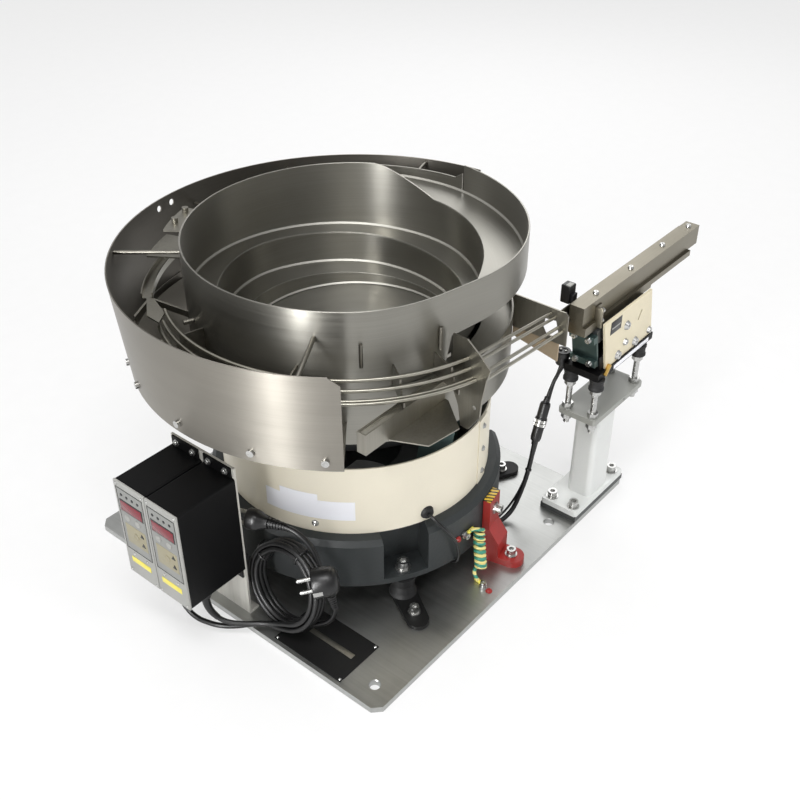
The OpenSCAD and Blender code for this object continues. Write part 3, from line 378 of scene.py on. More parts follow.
def lamp(name, at, aim, wide, high, watts, matt=True, gloss=True):
    """matt and gloss say which kind of reflection the lamp takes part in."""
    light = bpy.data.lights.new(name, "AREA")
    light.shape, light.size, light.size_y, light.energy = "RECTANGLE", wide, high, watts
    holder = bpy.data.objects.new(name, light)
    scene.collection.objects.link(holder)
    holder.location = at
    holder.rotation_euler = (Vector(aim) - Vector(at)).to_track_quat("-Z", "Y").to_euler()
    holder.visible_diffuse, holder.visible_glossy = matt, gloss


AIM = (0.04, 0.0, 0.25)
lamp("key", (-2.0, -0.35, 0.95), AIM, 0.3, 1.5, 11)
lamp("strip", (-2.0, -0.45, 0.7), AIM, 0.22, 1.6, 44, matt=False)
lamp("fill", (0.3, -2.2, 1.3), AIM, 0.35, 1.2, 12, gloss=False)
lamp("overhead", (-0.7, -0.5, 2.15), AIM, 1.2, 0.6, 19)
lamp("back", (1.8, 1.0, 1.45), AIM, 1.3, 1.0, 10)
lamp("side", (-1.0, 1.9, 1.1), AIM, 0.3, 1.3, 2)
print(len(bpy.data.lights), "lamps and the sky")

# %% [markdown]
# ## Small tools of the workshop
# These few helpers are the moves that come back again and again: clear the selection, finish a
# piece, choose faces by where they are, turn a profile on a lathe. The lathe starts from a disc
# whose cap is extruded and scaled step by step, which is how a turned part is drawn by hand.

# %% Clear, finish, choose
def clear():
    if bpy.context.object and bpy.context.object.mode != "OBJECT":
        bpy.ops.object.mode_set(mode="OBJECT")
    bpy.ops.object.select_all(action="DESELECT")


def settle(name, finish, angle=35):
    """Applies what is live, puts the place into the mesh, names, dresses and mounts the piece."""
    piece = bpy.context.object
    if piece.mode != "OBJECT":
        bpy.ops.object.mode_set(mode="OBJECT")
    for modifier in list(piece.modifiers):
        bpy.ops.object.modifier_apply(modifier=modifier.name)
    bpy.ops.object.transform_apply(location=True, rotation=True, scale=True)
    piece.name = piece.data.name = name
    bpy.ops.object.shade_smooth_by_angle(angle=math.radians(angle))
    piece.data.materials.clear()
    piece.data.materials.append(finish.material)
    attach(piece, "root")
    clear()
    return piece


def choose(test):
    """Selects the faces that test(centre, normal) accepts, and stays in edit mode."""
    piece = bpy.context.object
    bpy.ops.object.mode_set(mode="EDIT")
    bpy.ops.mesh.select_mode(type="FACE")
    bpy.ops.mesh.select_all(action="DESELECT")
    bpy.ops.object.mode_set(mode="OBJECT")
    found = 0
    for face in piece.data.polygons:
        face.select = bool(test(face.center, face.normal))
        found += face.select
    bpy.ops.object.mode_set(mode="EDIT")
    return found


def block(name, low, high, finish, edge=0.5, segments=2):
    """A rectangular piece between two corners, in millimetres, with rounded edges."""
    clear()
    low, high = Vector(low), Vector(high)
    bpy.ops.mesh.primitive_cube_add(size=1, location=(low + high) / 2 * MM, scale=(high - low) * MM)
    bpy.ops.object.transform_apply(location=True, rotation=True, scale=True)
    bpy.ops.object.mode_set(mode="EDIT")
    bpy.ops.mesh.select_all(action="SELECT")
    bpy.ops.mesh.bevel(offset=edge * MM, segments=segments, affect="EDGES")
    return settle(name, finish, 35)


def aimed(at, way, turn=0.0):
    """The matrix that carries a piece drawn along +Z at the origin to its place."""
    turned_to = Vector(way).to_track_quat("Z", "Y").to_matrix().to_4x4()
    return Matrix.Translation(Vector(at) * MM) @ turned_to @ Matrix.Rotation(turn, 4, "Z")


def lathe(name, profile, finish, at=(0, 0, 0), way=(0, 0, 1), sides=32, angle=35):
    """profile lists (radius, height) in millimetres from the bottom up, along way."""
    clear()
    radius, height = profile[0]
    bpy.ops.mesh.primitive_circle_add(vertices=sides, radius=radius * MM, fill_type="NGON",
                                      location=(0, 0, height * MM))
    bpy.ops.object.transform_apply(location=True)
    bpy.ops.object.mode_set(mode="EDIT")
    bpy.ops.mesh.select_mode(type="FACE")
    bpy.ops.mesh.select_all(action="SELECT")
    for new_radius, new_height in profile[1:]:
        bpy.ops.mesh.extrude_region_move(
            TRANSFORM_OT_translate={"value": (0, 0, (new_height - height) * MM)})
        if abs(new_radius - radius) > 1e-6:
            share = new_radius / radius
            bpy.ops.transform.resize(value=(share, share, 1),
                                     center_override=(0, 0, new_height * MM))
        radius, height = new_radius, new_height
    bpy.ops.mesh.select_all(action="SELECT")
    bpy.ops.mesh.normals_make_consistent(inside=False)
    bpy.ops.object.mode_set(mode="OBJECT")
    bpy.context.object.matrix_world = aimed(at, way)
    return settle(name, finish, angle)


print("workshop ready")

# %% [markdown]
# ## Cables
# A cable is a fixed length of something flexible. Each is one smooth curve with a round bevel.
# The two mains leads leave the glands under the controllers, come down to the base plate and
# are wound side by side into one upright coil that leans on the casting. The coil is written as
# a ring whose turns lie a diameter apart: in one stretch of each turn, every turn moves over to
# the next place together, so none runs through another.

# %% Smooth routes and the coil's turns
def cable(name, points, thick, finish):
    """A Bezier curve with automatic handles through points, given in millimetres."""
    line = bpy.data.curves.new(name, "CURVE")
    line.dimensions, line.resolution_u = "3D", 4
    line.bevel_depth, line.bevel_resolution, line.use_fill_caps = thick / 2 * MM, 3, True
    spline = line.splines.new("BEZIER")
    spline.bezier_points.add(len(points) - 1)
    for knot, p in zip(spline.bezier_points, points):
        knot.co = Vector(p) * MM
        knot.handle_left_type = knot.handle_right_type = "AUTO"
    piece = bpy.data.objects.new(name, line)
    scene.collection.objects.link(piece)
    line.materials.append(finish.material)
    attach(piece, "root")
    return piece


def long(piece):
    """The length of a curve, read from short chords, in metres."""
    bpy.context.evaluated_depsgraph_get()  # works out the automatic handles
    knots = piece.data.splines[0].bezier_points
    total = 0.0
    from_point = None
    for a, b in zip(knots[:-1], knots[1:]):
        for k in range(17):
            t = k / 16
            p = ((1 - t) ** 3 * a.co + 3 * (1 - t) ** 2 * t * a.handle_right
                 + 3 * (1 - t) * t * t * b.handle_left + t ** 3 * b.co)
            if from_point is not None:
                total += (p - from_point).length
            from_point = p
    return total


LEAD, STEP = 6.6, 6.9  # thickness of a lead, and from one turn of the coil to the next
COIL_CENTRE, COIL_R, COIL_SIDE = Vector((-171, -77, 68)), 53.0, 10.4
PER_TURN = 14  # points in one turn of a coil or a spring
lean = Matrix.Rotation(math.radians(182), 3, "Z") @ Matrix.Rotation(math.radians(73), 3, "Y")


def on_coil(turn, row, first=COIL_SIDE):
    """A point of the coil after that many turns from the bottom. row is 0 outside, 1 inside."""
    whole = math.floor(turn + 0.35)
    into = min(max((turn + 0.35 - whole) / 0.3, 0.0), 1.0)
    shift = whole - 1 + into * into * (3 - 2 * into)
    angle = turn * 2 * math.pi
    radius = COIL_R - row * STEP + 1.0 * math.sin(2 * angle + 0.6)
    side = first - shift * STEP + 0.8 * math.sin(angle + 1.0)
    return COIL_CENTRE + lean @ Vector((radius * math.cos(angle), radius * math.sin(angle), side))


for t in (0, 0.25, 0.5, 0.75):
    print("coil at", t, [round(x) for x in on_coil(t, 0)])

# %% The two mains leads
GLAND_1, GLAND_2 = (-240, 49, 66), (-240, -5, 66)
lead_1_route = [GLAND_1, (-240, 49, 58), (-241.5, 46, 46), (-244, 39, 32), (-246, 27, 20),
                (-245, 12, 13), (-241, -5, 11.8), (-235, -20, 11.8), (-225, -34, 12.0),
                (-213, -47, 13.5), (-203, -60, 16.5)]
lead_2_route = [GLAND_2, (-240, -5, 58), (-240.4, -7, 46), (-239.6, -12, 35.5), (-236.6, -20, 27),
                (-231, -30, 21.8), (-222.5, -41.5, 19.6), (-212.5, -53.5, 19.2), (-203.5, -66, 20.6)]
# lead 1 leaves the coil low on its side towards the front and rises into the side of its plug
wound_1 = [on_coil(0.03 + k / PER_TURN, 0) for k in range(43)]
tail_1 = [(-170.5, -131.5, 38), (-168, -142, 49), (-166.6, -148, 62), (-166.4, -150, 77),
          (-167.9, -148.4, 90)]
# lead 2 lies inside, leaves half way up the same side and goes on into the end of its plug
wound_2 = [on_coil(0.04 + k / PER_TURN, 1) for k in range(46)]
tail_2 = [(-151.5, -112.5, 99), (-150.6, -108.5, 111.5), (-151.2, -103.4, 123), (-152.9, -96.8, 133.5),
          (-155.4, -88.6, 141.2), (-158.2, -79, 146.2), (-161.2, -69, 148), (-164.8, -57.5, 148)]
for label, part in (("wound 1", wound_1), ("wound 2", wound_2)):
    print(label, "from", [round(x) for x in part[0]], "to", [round(x) for x in part[-1]])
lead_1 = cable("lead_1", [*lead_1_route, *wound_1, *tail_1], LEAD, cord_skin)
lead_2 = cable("lead_2", [*lead_2_route, *wound_2, *tail_2], LEAD, cord_skin)
print("leads measure", round(long(lead_1), 3), round(long(lead_2), 3), "m")

# %% Signal, feeder, drum and thin cables
signal_cable = cable("signal_line", [
    (116, -166, 13), (123, -168.5, 12.2), (131, -171, 12.3), (140, -173.5, 13.5), (149, -175.5, 16.5),
    (157, -177, 21.5), (164, -177.8, 29), (170, -178.4, 38), (175, -178.8, 47), (180, -179.2, 57),
    (184, -179.5, 67), (187.5, -179.8, 78), (190.5, -180, 90), (193, -180, 102), (196, -180, 118)],
    6.4, cord_skin)
feeder_cable = cable("feeder_line", [
    (234, -190, 225), (233.8, -188, 219), (233, -185, 212), (231.8, -183, 205), (230, -181, 198),
    (227, -180.3, 191), (223, -180, 184.5), (219.5, -180, 178.5), (215.6, -180, 171)],
    5.0, cord_skin)
drum_line = cable("drum_line", [
    (-14, -156, 128), (-15.8, -161, 128.1), (-17.2, -166, 128.1), (-18.8, -171, 127.8),
    (-19.3, -176.5, 126.2), (-18.5, -182, 122.5), (-16.6, -187, 117.6), (-13.4, -191, 111.5),
    (-9, -193.7, 104), (-3.6, -195.6, 94.5), (2, -196.5, 84), (6.2, -196.6, 72), (9, -196, 60),
    (10.5, -194.8, 51), (11.3, -192, 43), (12, -186, 37), (12.6, -179, 34.8), (13, -172, 34)],
    4.0, cord_skin)
thin_line = cable("thin_line", [
    (248, -199, 238), (248, -193.5, 238), (247.6, -188.6, 236.4), (246.8, -185, 232.5), (246, -182.6, 227),
    (244.5, -180.8, 219), (242, -179.6, 210), (238.5, -178.8, 200), (234.5, -178.3, 190), (231, -178, 181),
    (227.6, -178, 171), (223.8, -178, 160), (219, -178, 147), (214.2, -178, 134), (209.4, -178, 121),
    (204.8, -178, 108), (200, -177.9, 94), (194.8, -177.5, 80), (189, -176.6, 66), (182.8, -175.3, 53),
    (175.4, -173.6, 40), (166.4, -171.6, 29), (156.2, -169.4, 20.5), (145, -167, 14.6), (133, -164.6, 11.2),
    (121, -162.2, 10.2), (112, -160.4, 10.2)], 3.2, cord_skin)
for piece in (signal_cable, feeder_cable, drum_line, thin_line):
    print(piece.name, "measures", round(long(piece), 3), "m")

# %% [markdown]
# ## The earth wire
# An earth wire is green with a yellow stripe. This one is wound into a spring between two
# screws so that the trembling drive can't break it. The stripe follows the wire, so it is banded
# along a direction that crosses the turns. The spring has ten and a half close turns: the wire
# comes in over the first one and leaves behind the last, both times along the wire's own run.

# %% Striped wire
earth_skin = Finish("earth_skin", 0.36)
ex, _, ez = earth_skin.split()
band = earth_skin.node("ShaderNodeMath", {"operation": "SINE"}, {
    0: ez * 700.0 + ex * 150.0 + earth_skin.noise(30.0) * 1.5})
earth_skin.give("Base Color", earth_skin.ramp(
    band * 0.5 + 0.5, (0.50, rgb(62, 146, 124)[:3]), (0.56, rgb(232, 218, 140)[:3])))
earth_skin.bump(earth_skin.noise(900.0), 0.1, 0.0002)

WIRE, SPRING_R, SPRING_STEPS = 4.9, 5.6, 147
helix = []
start, stop = Vector((50, -197, 71)), Vector((34, -214, 27))
spine = (stop - start).normalized()
across = spine.cross(Vector((0, 1, 0))).normalized()
beside = spine.cross(across)
for k in range(SPRING_STEPS + 1):
    t = k / SPRING_STEPS
    a = 2 * math.pi * (k / PER_TURN - 0.25)
    sag = Vector((-4.5, -3.5, -1.0)) * math.sin(math.pi * t)
    ring = (across * math.cos(a) - beside * math.sin(a)) * SPRING_R
    helix.append(start.lerp(stop, t) + sag + ring)
earth_wire = cable("earth_wire", [
    (32.5, -196, 81.4), (36, -197, 80.6), (41, -199.2, 79.3), (45.8, -201.2, 76.4), *helix,
    (29.2, -208.6, 25.4), (26.1, -209.9, 22.2), (25.4, -212.2, 17.8), (25.9, -214.6, 13.8),
    (26.6, -216.5, 11.4)], WIRE, earth_skin)
print("earth wire", round(long(earth_wire), 3), "m with", len(helix), "points in its spring")

# %% [markdown]
# ## The bowl
# The bowl is bent from flat strips: a wall that winds inwards as it goes down, and a track that
# climbs beside it. One function does the roller's work. It starts from a flat grid, as long as
# the strip has steps, and bends each column to its radius and height, which come from three short
# tables. Solidify then gives the strip its sheet thickness. Spin can't do it, because radius and
# height both change on the way round. A thin sloped strip in each inner corner is the weld.

# %% Tables of the spiral, in millimetres and degrees
R_FLOOR, R_BOWL = 132.0, 193.5
wall_path = [(-450, R_FLOOR), (-392, 141), (-360, 151), (-328, 165), (-274, 170), (-240, 160),
             (-60, 152), (-33, 165), (0, 186), (24, 191), (38, R_BOWL), (232, R_BOWL), (261, 184),
             (285, 197), (315, 210), (345, 223), (365, 234), (420, 240)]
track_path = [(-440, 291), (0, 340), (385, 400), (460, 372)]
edge_path = [(5, 395), (30, 433), (362, 433), (363, 413), (420, 413), (460, 388)]


def between(table, a):
    if a <= table[0][0]:
        return table[0][1]
    for (a0, v0), (a1, v1) in zip(table[:-1], table[1:]):
        if a <= a1:
            return v0 + (v1 - v0) * (a - a0) / (a1 - a0)
    return table[-1][1]


def wall(a):
    """The radius, with the corners of the table rolled out over 16 degrees."""
    return sum(between(wall_path, a + k * 2) for k in range(-4, 5)) / 9


def track(a):
    return between(track_path, a)


def wall_top(a):
    if a <= 5:
        return track(a + 360) - 1
    if 8 < a < 350:
        return sum(between(edge_path, a + k) for k in range(-3, 4)) / 7
    return between(edge_path, a)


def wall_foot(a):
    return min(338, track(a) - 3) if 24 < a < 255 else track(a) - 3


# %% Bend a strip
def rolled(name, a0, a1, inner, outer, finish, thick=2.0, step=3.0, edge=0.35):
    """inner(a) and outer(a) give (radius, height) of the strip's two long edges."""
    clear()
    count = round((a1 - a0) / step)
    bpy.ops.mesh.primitive_grid_add(x_subdivisions=count, y_subdivisions=1, size=1)
    strip = bpy.context.object
    for point in strip.data.vertices:
        a = a0 + (point.co.x + 0.5) * (a1 - a0)
        radius, height = outer(a) if point.co.y > 0 else inner(a)
        turn = math.radians(a)
        point.co = AXIS + Vector((radius * math.cos(turn), radius * math.sin(turn), height)) * MM
    sheet = strip.modifiers.new("sheet", "SOLIDIFY")
    sheet.thickness, sheet.offset, sheet.use_even_offset = thick * MM, 1.0, True
    if edge:
        rounding = strip.modifiers.new("edge", "BEVEL")
        rounding.width, rounding.segments = edge * MM, 1
        rounding.limit_method, rounding.angle_limit = "ANGLE", math.radians(60)
    return settle(name, finish, 32)


def foot_line(a):
    return wall(a), wall_foot(a)


def top_line(a):
    return wall(a), wall_top(a)


bowl_wall = rolled("bowl_wall", -438, 362, foot_line, top_line, bowl_steel)
exit_wall = rolled("exit_wall", 362.6, 460.5, foot_line, top_line, bowl_steel)
spiral_track = rolled("spiral_track", -440, 460,
                      lambda a: (max(wall(a - 360) + 0.3, R_FLOOR), track(a)),
                      lambda a: (wall(a) + 0.6, track(a)), bowl_steel, edge=0.3)
floor_step = rolled("floor_step", -436, -82, lambda a: (R_FLOOR, 288.5),
                    lambda a: (R_FLOOR, track(a) - 1.8), bowl_steel, edge=0)
bowl_floor = lathe("bowl_floor", [(134, 286.2), (134, 288), (110, 288.3), (80, 289), (40, 289.6),
                                  (14, 289.8)], bowl_steel, AXIS / MM, sides=96)
spiral_weld = rolled("spiral_weld", -436, 458, lambda a: (wall(a) - 2.2, track(a) + 0.15),
                     lambda a: (wall(a) + 0.1, track(a) + 2.4), weld_steel, thick=0.5, edge=0)
floor_weld = rolled("floor_weld", -436, -78, lambda a: (130.1, 288.9), lambda a: (R_FLOOR, 290.8),
                    weld_steel, thick=0.5, edge=0)
for piece in (bowl_wall, exit_wall, spiral_track, floor_step, bowl_floor, spiral_weld, floor_weld):
    print(piece.name, len(piece.data.polygons), "faces")
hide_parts("bowl_steps")

# %% [markdown]
# ## Plugs and the screw connector
# A moulded plug is a turned shape: a ribbed sleeve that lets the cord bend slowly, a waist for
# the fingers, and a face with two pins. The lathe draws it along its own axis, and one matrix
# carries it to its place. The cord of the large plug comes in from the side, through a neck of
# its own. The small plug lies in line with its cord. The pins are turned too, with rounded ends.

# %% Mains plugs
def ribbed(start, stop, r0, r1, ribs):
    """Rings of a strain relief, each a band and a groove."""
    rings = []
    for k in range(ribs):
        t0, t1 = k / ribs, (k + 0.62) / ribs
        wide = r0 + (r1 - r0) * t0
        z0, z1, z2 = (start + (stop - start) * t for t in (t0, t1, (k + 1) / ribs))
        rings += [(wide, z0), (wide, z1), (wide - 1.1, z1 + 0.05), (wide - 1.1, z2 - 0.05)]
    return rings


def pins(name, face, way, side):
    profile = [(2.4, 0), (2.4, 16.4), (2.2, 17.4), (1.6, 18.1), (0.8, 18.5)]
    return [lathe(f"{name}_pin_{label}", profile, zinc, face - way + side * 9.5 * k, way, 20)
            for label, k in (("a", -1), ("b", 1))]


# the large plug
face, plug_way = Vector((-184, -133, 113.5)), Vector((-0.71, 0.68, -0.16)).normalized()
back = face - plug_way * 30
plug_1 = lathe("mains_plug_1", [
    (5, 0), (10.5, 0.8), (14.6, 3.4), (16.8, 7), (17.6, 11), (18, 14), (18, 27.6), (17, 30), (14.6, 30),
    (14.1, 28.8), (2.5, 28.8)], black_plastic, back, plug_way, 40, 28)
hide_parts("plug_1")
neck_way = (Vector((0, 0, -1)) - plug_way * 0.16).normalized()
neck_rings = [(wide, 42 - z) for wide, z in reversed(ribbed(0, 22, 4.4, 6.4, 6))]
neck = lathe("mains_plug_1_neck", [(7.6, 10), (7.8, 17), (7.0, 19), *neck_rings],
             black_plastic, face - plug_way * 17, neck_way, 28, 28)
pins_1 = pins("mains_plug_1", face, plug_way, plug_way.to_track_quat("Z", "Y") @ Vector((0, 1, 0)))
earth_clip = block("earth_clip", (-3, -18.0, 19), (3, -15.4, 30.4), zinc, 0.4)
earth_clip.data.transform(aimed(back, plug_way, math.radians(90)))

# the small plug
grip_way = Vector((-0.35, 0.93, 0.0)).normalized()
grip_face = Vector((-171, -41, 148)) + grip_way * 18
plug_2 = lathe("mains_plug_2", [
    *ribbed(-15, 9, 4.4, 6.4, 7), (7.0, 9.4), (7.8, 13), (9.6, 17), (11.6, 21), (12.8, 24), (13, 26),
    (13, 34), (12, 36), (9.5, 36), (9, 35), (2.5, 35)],
    black_plastic, grip_face - grip_way * 36, grip_way, 36, 28)
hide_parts("plug_2")
pins_2 = pins("mains_plug_2", grip_face, grip_way, Vector((0, 0, 1)))
print("plugs", plug_1.name, plug_2.name)

# %% Cord sleeves, gland nuts
def sleeve(name, points, wide, thin):
    """A tapered strain relief that follows the cord's first points."""
    piece = cable(name, points, wide, black_plastic)
    knots = piece.data.splines[0].bezier_points
    for k, knot in enumerate(knots):
        knot.radius = 1 + (thin / wide - 1) * k / (len(knots) - 1)
    clear()
    piece.select_set(True)
    bpy.context.view_layer.objects.active = piece
    bpy.ops.object.convert(target="MESH")
    return settle(name, black_plastic, 40)


sleeve_1 = sleeve("sleeve_1", lead_1_route[1:5], 11.5, 7.4)
sleeve_2 = sleeve("sleeve_2", lead_2_route[1:5], 11.5, 7.4)
for label, (x, y, _) in (("a", GLAND_1), ("b", GLAND_2)):
    lathe(f"gland_nut_{label}", [(8.6, 0), (9.6, 1), (9.6, 6.5), (8.6, 7.5), (6, 8.5)], black_plastic,
          (x, y, 58), sides=6, angle=30)
print("sleeves on both leads")

# %% Screw connector with two knurled rings
top_end, low_end = Vector((216, -180, 172)), Vector((196, -180, 118))
run = low_end - top_end
reach = run.length
connector = lathe("screw_connector", [
    (3.4, -4), (3.8, -3.5), (4.2, 0), (6.6, 2), (7.2, 5), (7.2, 22), (7.9, 23), (7.9, 25), (6.4, 25.4),
    (6.4, 33), (7.9, 33.4), (7.9, 36), (7.2, 37), (7.2, reach - 6), (6.4, reach - 2), (4.2, reach),
    (3.8, reach + 4), (3.2, reach + 5)], black_plastic, top_end, run, angle=28)
rings = []
for label, start in (("a", 25.0), ("b", 30.0)):
    clear()
    bpy.ops.mesh.primitive_cylinder_add(vertices=48, radius=8.6 * MM, depth=4.2 * MM,
                                        location=(0, 0, (start + 2.1) * MM))
    bpy.ops.object.transform_apply(location=True)
    found = choose(lambda c, n: abs(n.z) < 0.5)
    bpy.ops.mesh.inset(thickness=0.22 * MM, depth=-0.25 * MM, use_individual=True)
    bpy.ops.object.mode_set(mode="OBJECT")
    bpy.context.object.matrix_world = aimed(top_end, run)
    rings.append(settle(f"knurled_ring_{label}", zinc, 25))
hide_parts("connectors")
print("connector", round(reach, 1), "mm long, rings of", found, "teeth")


# %% Cable ties
def tie(name, at, way, wide, high):
    """A strap round two cables: a ring that is stretched to an oval."""
    clear()
    bpy.ops.mesh.primitive_torus_add(major_radius=1.0 * MM, minor_radius=0.9 * MM,
                                     major_segments=28, minor_segments=8)
    loop = bpy.context.object
    for point in loop.data.vertices:
        ring = Vector((point.co.x, point.co.y, 0)).normalized()
        thick = point.co - ring * MM
        oval = Vector((ring.x * wide * MM, ring.y * high * MM, 0))
        point.co = oval + Vector((thick.x * 0.7, thick.y * 0.7, thick.z * 1.6))
    loop.matrix_world = aimed(at, way)
    return settle(name, black_plastic, 40)


tie("tie_top", (218.2, -180, 176.5), (4, 0, 7), 3.4, 3.4)
tie("tie_low", (186.6, -179.7, 75), (3, 0, 10), 3.9, 3.9)
for label, turn in (("a", 0.45), ("b", 0.66)):
    angle = turn * 2 * math.pi
    tie(f"coil_tie_{label}", on_coil(turn, 0, 0) * 0.5 + on_coil(turn, 1, 0) * 0.5,
        lean @ Vector((-math.sin(angle), math.cos(angle), 0)), 15.0, 10.5)

# %% [markdown]
# ## The cables in one table
# A cable's length is that of its curve, and its plug goes with it.

# %% The table of cables
declared = [
    (lead_1, GLAND_1, LEAD, "plug", "medium", "coiled", [plug_1, neck, *pins_1, earth_clip, sleeve_1]),
    (lead_2, GLAND_2, LEAD, "plug", "medium", "coiled", [plug_2, *pins_2, sleeve_2]),
    (signal_cable, (116, -166, 13), 6.4, "connector", "stiff", "loose", [connector, *rings]),
    (feeder_cable, (234, -190, 225), 5.0, "object", "medium", "hanging", []),
    (thin_line, (248, -199, 238), 3.2, "object", "limp", "hanging", []),
    (drum_line, (-14, -156, 128), 4.0, "object", "medium", "loose", []),
    (earth_wire, (32.5, -196, 81.4), WIRE, "object", "stiff", "coiled", []),
]
for piece, leaves_at, thick, end, stiffness, lay, pieces in declared:
    round(long(piece), 3)
    thick * MM
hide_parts("power_cords", "cord_coil")
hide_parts("signal_cable")
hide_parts("drum_cable")
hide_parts("ground_wire")
print(len(declared), "cables declared")

# %% [markdown]
# ## Earth lugs
# Each end of the earth wire is crimped into a ring lug: a flat eye, a round barrel with a yellow
# sleeve, and a screw with its washer that holds the eye down. Beside each sits a small red cap.

# %% Ring lugs and their screws
def lug(name, at, up, toward):
    """The eye lies at 'at' with its screw along 'up'; the barrel points toward."""
    at, up, toward = Vector(at), Vector(up).normalized(), Vector(toward).normalized()
    for part, profile in (
            ("eye", [(4.6, 0), (5.0, 0.3), (5.0, 1.3), (4.6, 1.5)]),
            ("washer", [(4.2, 1.5), (4.2, 2.3), (3.3, 2.4), (3.3, 3.2)]),
            ("screw", [(2.9, 3.2), (3.0, 3.6), (3.0, 6.2), (2.6, 6.7), (1.7, 6.7), (1.5, 4.8)])):
        lathe(f"{name}_{part}", profile, zinc, at, up, 24)
    lathe(f"{name}_barrel", [(1.6, 3.5), (2.2, 4.2), (2.5, 5.0), (2.6, 14), (2.2, 15), (1.6, 15.2)],
          yellow_label, at + up * 2.6, toward, 20)
    lathe(f"{name}_cap", [(4.2, 0), (4.4, 0.6), (4.4, 1.4), (3.4, 1.6), (3.2, 3.0), (2.4, 4.0),
                          (1.2, 4.3)], red_paint, at - toward * 11.0 - up * 0.2, up, 24)


def polar(a, r, z):
    """A point in millimetres at the angle a round the bowl's axis."""
    return Vector((40 + r * math.cos(math.radians(a)), r * math.sin(math.radians(a)), z))


def outward(a):
    return polar(a, 1, 0) - polar(a, 0, 0)


lug("drive_lug", polar(265.5, 192.2, 78), outward(265.5), (0.98, -0.10, 0.16))
lug("base_lug", (25, -225, 8.0), (0, 0, 1), (0.2, 1, 0.05))
print("2 lugs")

# %% [markdown]
# ## The controllers
# Each controller has a grey front sheet with a printed field: a dark red window, a beige key
# field with two arrow keys and a knob, and thin frame lines. Every part of it is a low piece of
# its own with softened edges, so light catches it. Nothing is written on it.

# %% Front panels
PANEL_WIDE, PANEL_X = 53, -282.0
printed_field = coated("printed_field", rgb(142, 143, 140), 0.4, 900.0, 0.05, tones=(0.95, 1.0, 1.03))
window_red = coated("window_red", rgb(122, 26, 40), 0.16, 500.0, 0.02, tones=(0.9, 1.0, 1.05))


def front(label, y0, node):
    """All parts of one front. u runs from the panel's left side as one looks at it."""
    def flat(part, u0, z0, u1, z1, rise, finish, edge=0.25):
        block(f"{part}_{label}", (PANEL_X - rise, y0 + PANEL_WIDE - u1, z0),
              (PANEL_X, y0 + PANEL_WIDE - u0, z1), finish, edge)

    def turned(part, spots, profile, finish, sink, sides):
        for n, (u, z) in enumerate(spots):
            end = f"_{n}" if len(spots) > 1 else ""
            lathe(f"{part}_{label}{end}", profile, finish,
                  (PANEL_X - sink, y0 + PANEL_WIDE - u, z), (-1, 0, 0), sides)

    sheet = block(f"panel_sheet_{label}", (PANEL_X, y0, 82), (-279.05, y0 + PANEL_WIDE, 222),
                  grey_plastic, 0.8)
    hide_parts(node)
    for side, u0, z0, u1, z1 in (("left", 3.5, 122, 4.3, 214), ("right", 48.7, 122, 49.5, 214),
                                 ("top", 3.5, 213.2, 49.5, 214), ("low", 3.5, 122, 49.5, 122.8)):
        flat(f"frame_{side}", u0, z0, u1, z1, 0.35, black_plastic, 0.1)
    flat("field", 5.2, 123.6, 47.8, 212.4, 0.3, printed_field, 0.1)
    flat("window_rim", 7.0, 180.5, 46.0, 197.5, 0.8, black_plastic)
    flat("window", 8.2, 182, 44.8, 196, 1.1, window_red, 0.4)
    flat("key_field", 9.5, 134, 45.0, 163, 0.6, key_plastic, 0.4)
    flat("bare_strip", 9.0, 102, 43.0, 110, 0.4, yellow_label, 0.15)
    turned("lamp", [(12, 205), (21.5, 205), (31, 205), (40.5, 205)],
           [(1.9, 0), (1.9, 0.5), (1.2, 0.9)], black_plastic, 0.2, 16)
    turned("key", [(16, 172), (34, 172)],
           [(4.2, 0), (4.2, 0.7), (3.5, 1.1), (1.5, 1.0)], grey_plastic, 0.2, 24)
    turned("knob", [(27, 149)],
           [(4.8, 0), (4.8, 0.6), (4.0, 0.95), (3.6, 0.7), (1.2, 0.7)], key_plastic, 0.5, 28)
    turned("arrow", [(38.5, 156), (38.5, 142)], [(3.6, 0), (3.6, 0.6), (3.0, 0.9)], black_plastic, 0.5, 3)
    turned("panel_screw", [(4, 218), (49, 218), (15, 116), (38, 116), (4, 86), (49, 86)],
           [(1.9, 0), (1.9, 0.5), (1.3, 0.9), (0.6, 0.6)], zinc, 0.0, 14)
    for n, y in enumerate((12.5, 40.5)):
        for m, z in enumerate((229, 75)):
            lathe(f"flange_screw_{label}_{n}{m}", [
                (4.4, 0), (4.4, 0.9), (3.4, 1.0), (3.4, 3.0), (3.0, 3.5), (1.9, 3.5), (1.6, 1.8)],
                zinc, (-198, y0 + y, z), (-1, 0, 0), 18)
    print("panel", label, "at y", y0)


front("left", 22.5, "panel_1")
front("right", -31.5, "panel_2")

# %% [markdown]
# ## Bare labels
# Stickers are thin sheets. On the drum they are rolled round it like the bowl's strips. The
# feeder's front plate and base carry bare sheets too, and the plate on the base plate a pale bar.

# %% Labels on the drum, on the feeder and on the base plate
rolled("drum_label", 184, 221.5, lambda a: (175.12, 137), lambda a: (175.12, 165), blank_label, 0.25,
       edge=0)
rolled("drum_label_small", 191, 207, lambda a: (175.4, 159), lambda a: (175.4, 174), blank_label, 0.25,
       edge=0)
block("side_label", (244.5, -245.5, 285.5), (270.5, -245.02, 303.5), black_label, 0.1)
block("side_label_bar", (247, -245.75, 292.5), (268, -245.45, 294.5), grey_plastic, 0.1)
block("base_strip", (262, -247.6, 227.6), (352, -247.02, 233.6), blank_label, 0.12)
block("name_plate_bar", (-171.5, -176, 8.9), (-164, -108, 9.35), plate_steel, 0.15)
print("6 bare labels")

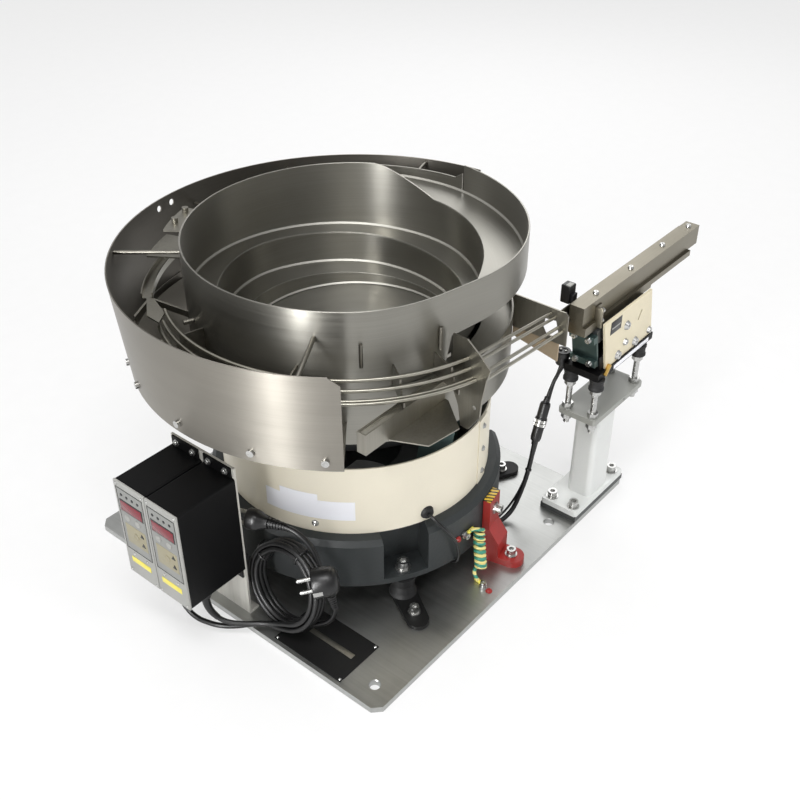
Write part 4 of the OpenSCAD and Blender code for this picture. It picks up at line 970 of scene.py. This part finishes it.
# %% [markdown]
# ## Small fittings
# The level sensor and the end plate of the straight track are slimmer here than their plain CAD
# forms. The feeder's cable goes into a round socket with two screws. A sheet closes the top of
# the return chute. The red transit bracket has a strip with slanting stripes on its upper edge,
# which a sine of the place paints: each full wave is one yellow and one black stripe.

# %% Fittings
lathe("drum_plug_screw", [(4.6, 0), (4.6, 0.8), (3.8, 2.2), (2.2, 2.9), (1.4, 2.2)], zinc,
      polar(205.5, 174.6, 129), outward(205.5), 24)
sensor_body = block("sensor_body", (211, -201.2, 328), (225.6, -188, 352), black_plastic, 1.6,
                    segments=3)
block("sensor_stem", (214, -204.7, 316), (224, -200.2, 341), black_plastic, 0.8)
block("sensor_cap", (211.8, -200.4, 351.4), (221.5, -194.4, 353.2), grey_plastic, 0.5)
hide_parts("sensor")
end_plate = block("end_plate", (224.6, -241.4, 303), (227.2, -231.0, 330.5), track_steel, 0.5)
block("end_flange", (226.4, -233.0, 303), (238, -230.9, 330.5), track_steel, 0.5)
for k, z in enumerate((325.0, 310.5)):
    lathe(f"end_screw_{k}", [
        (2.4, 0), (2.4, 1.2), (3.2, 1.3), (3.2, 5.6), (2.6, 6.2), (1.7, 6.2), (1.5, 4.6)],
        zinc, (227.0, -237.4, z), (1, 0, 0), 20)
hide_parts("end_bracket")
lathe("feeder_socket", [(8.0, 0), (8.6, 0.8), (8.6, 12), (10.2, 12.6), (10.2, 19), (9.4, 20), (6, 20),
                        (5.4, 19)], black_plastic, (234, -187.6, 226.5))
for k, y in enumerate((-191.4, -183.8)):
    lathe(f"socket_screw_{k}", [(2.0, 0), (2.0, 1.2), (1.5, 1.7), (0.8, 1.1)], zinc,
          (234, y, 246.2), sides=16)
block("chute_cover", (-156.5, -194.5, 337.4), (-29.5, -185.5, 338.8), plate_steel, 0.3)
lathe("loose_tag", [(2.4, 0), (2.9, 1), (2.9, 15), (2.4, 16), (1.2, 16.3)], yellow_metal,
      (250, -247.2, 241), (-0.75, -0.05, -0.65), 6)

striped = Finish("striped_strip", 0.35)
sx, sy, _ = striped.split()
slant = striped.node("ShaderNodeMath", {"operation": "SINE"}, {
    0: sx * 900.0 + sy * 500.0 + striped.noise(60.0) * 0.4})
striped.give("Base Color", striped.ramp(
    slant * 0.5 + 0.5, (0.58, rgb(226, 188, 58)[:3]), (0.64, rgb(32, 30, 28)[:3])))
striped.bump(striped.noise(900.0), 0.08, 0.0002)
edge_strip = block("edge_strip", (-14.5, -0.6, 0), (14.5, 9.4, 1.0), striped, 0.2)
edge_strip.data.transform(Matrix.Translation(polar(282, 192.6, 105.0) * MM)
                          @ Matrix.Rotation(math.radians(282 - 90), 4, "Z"))
print("fittings done")
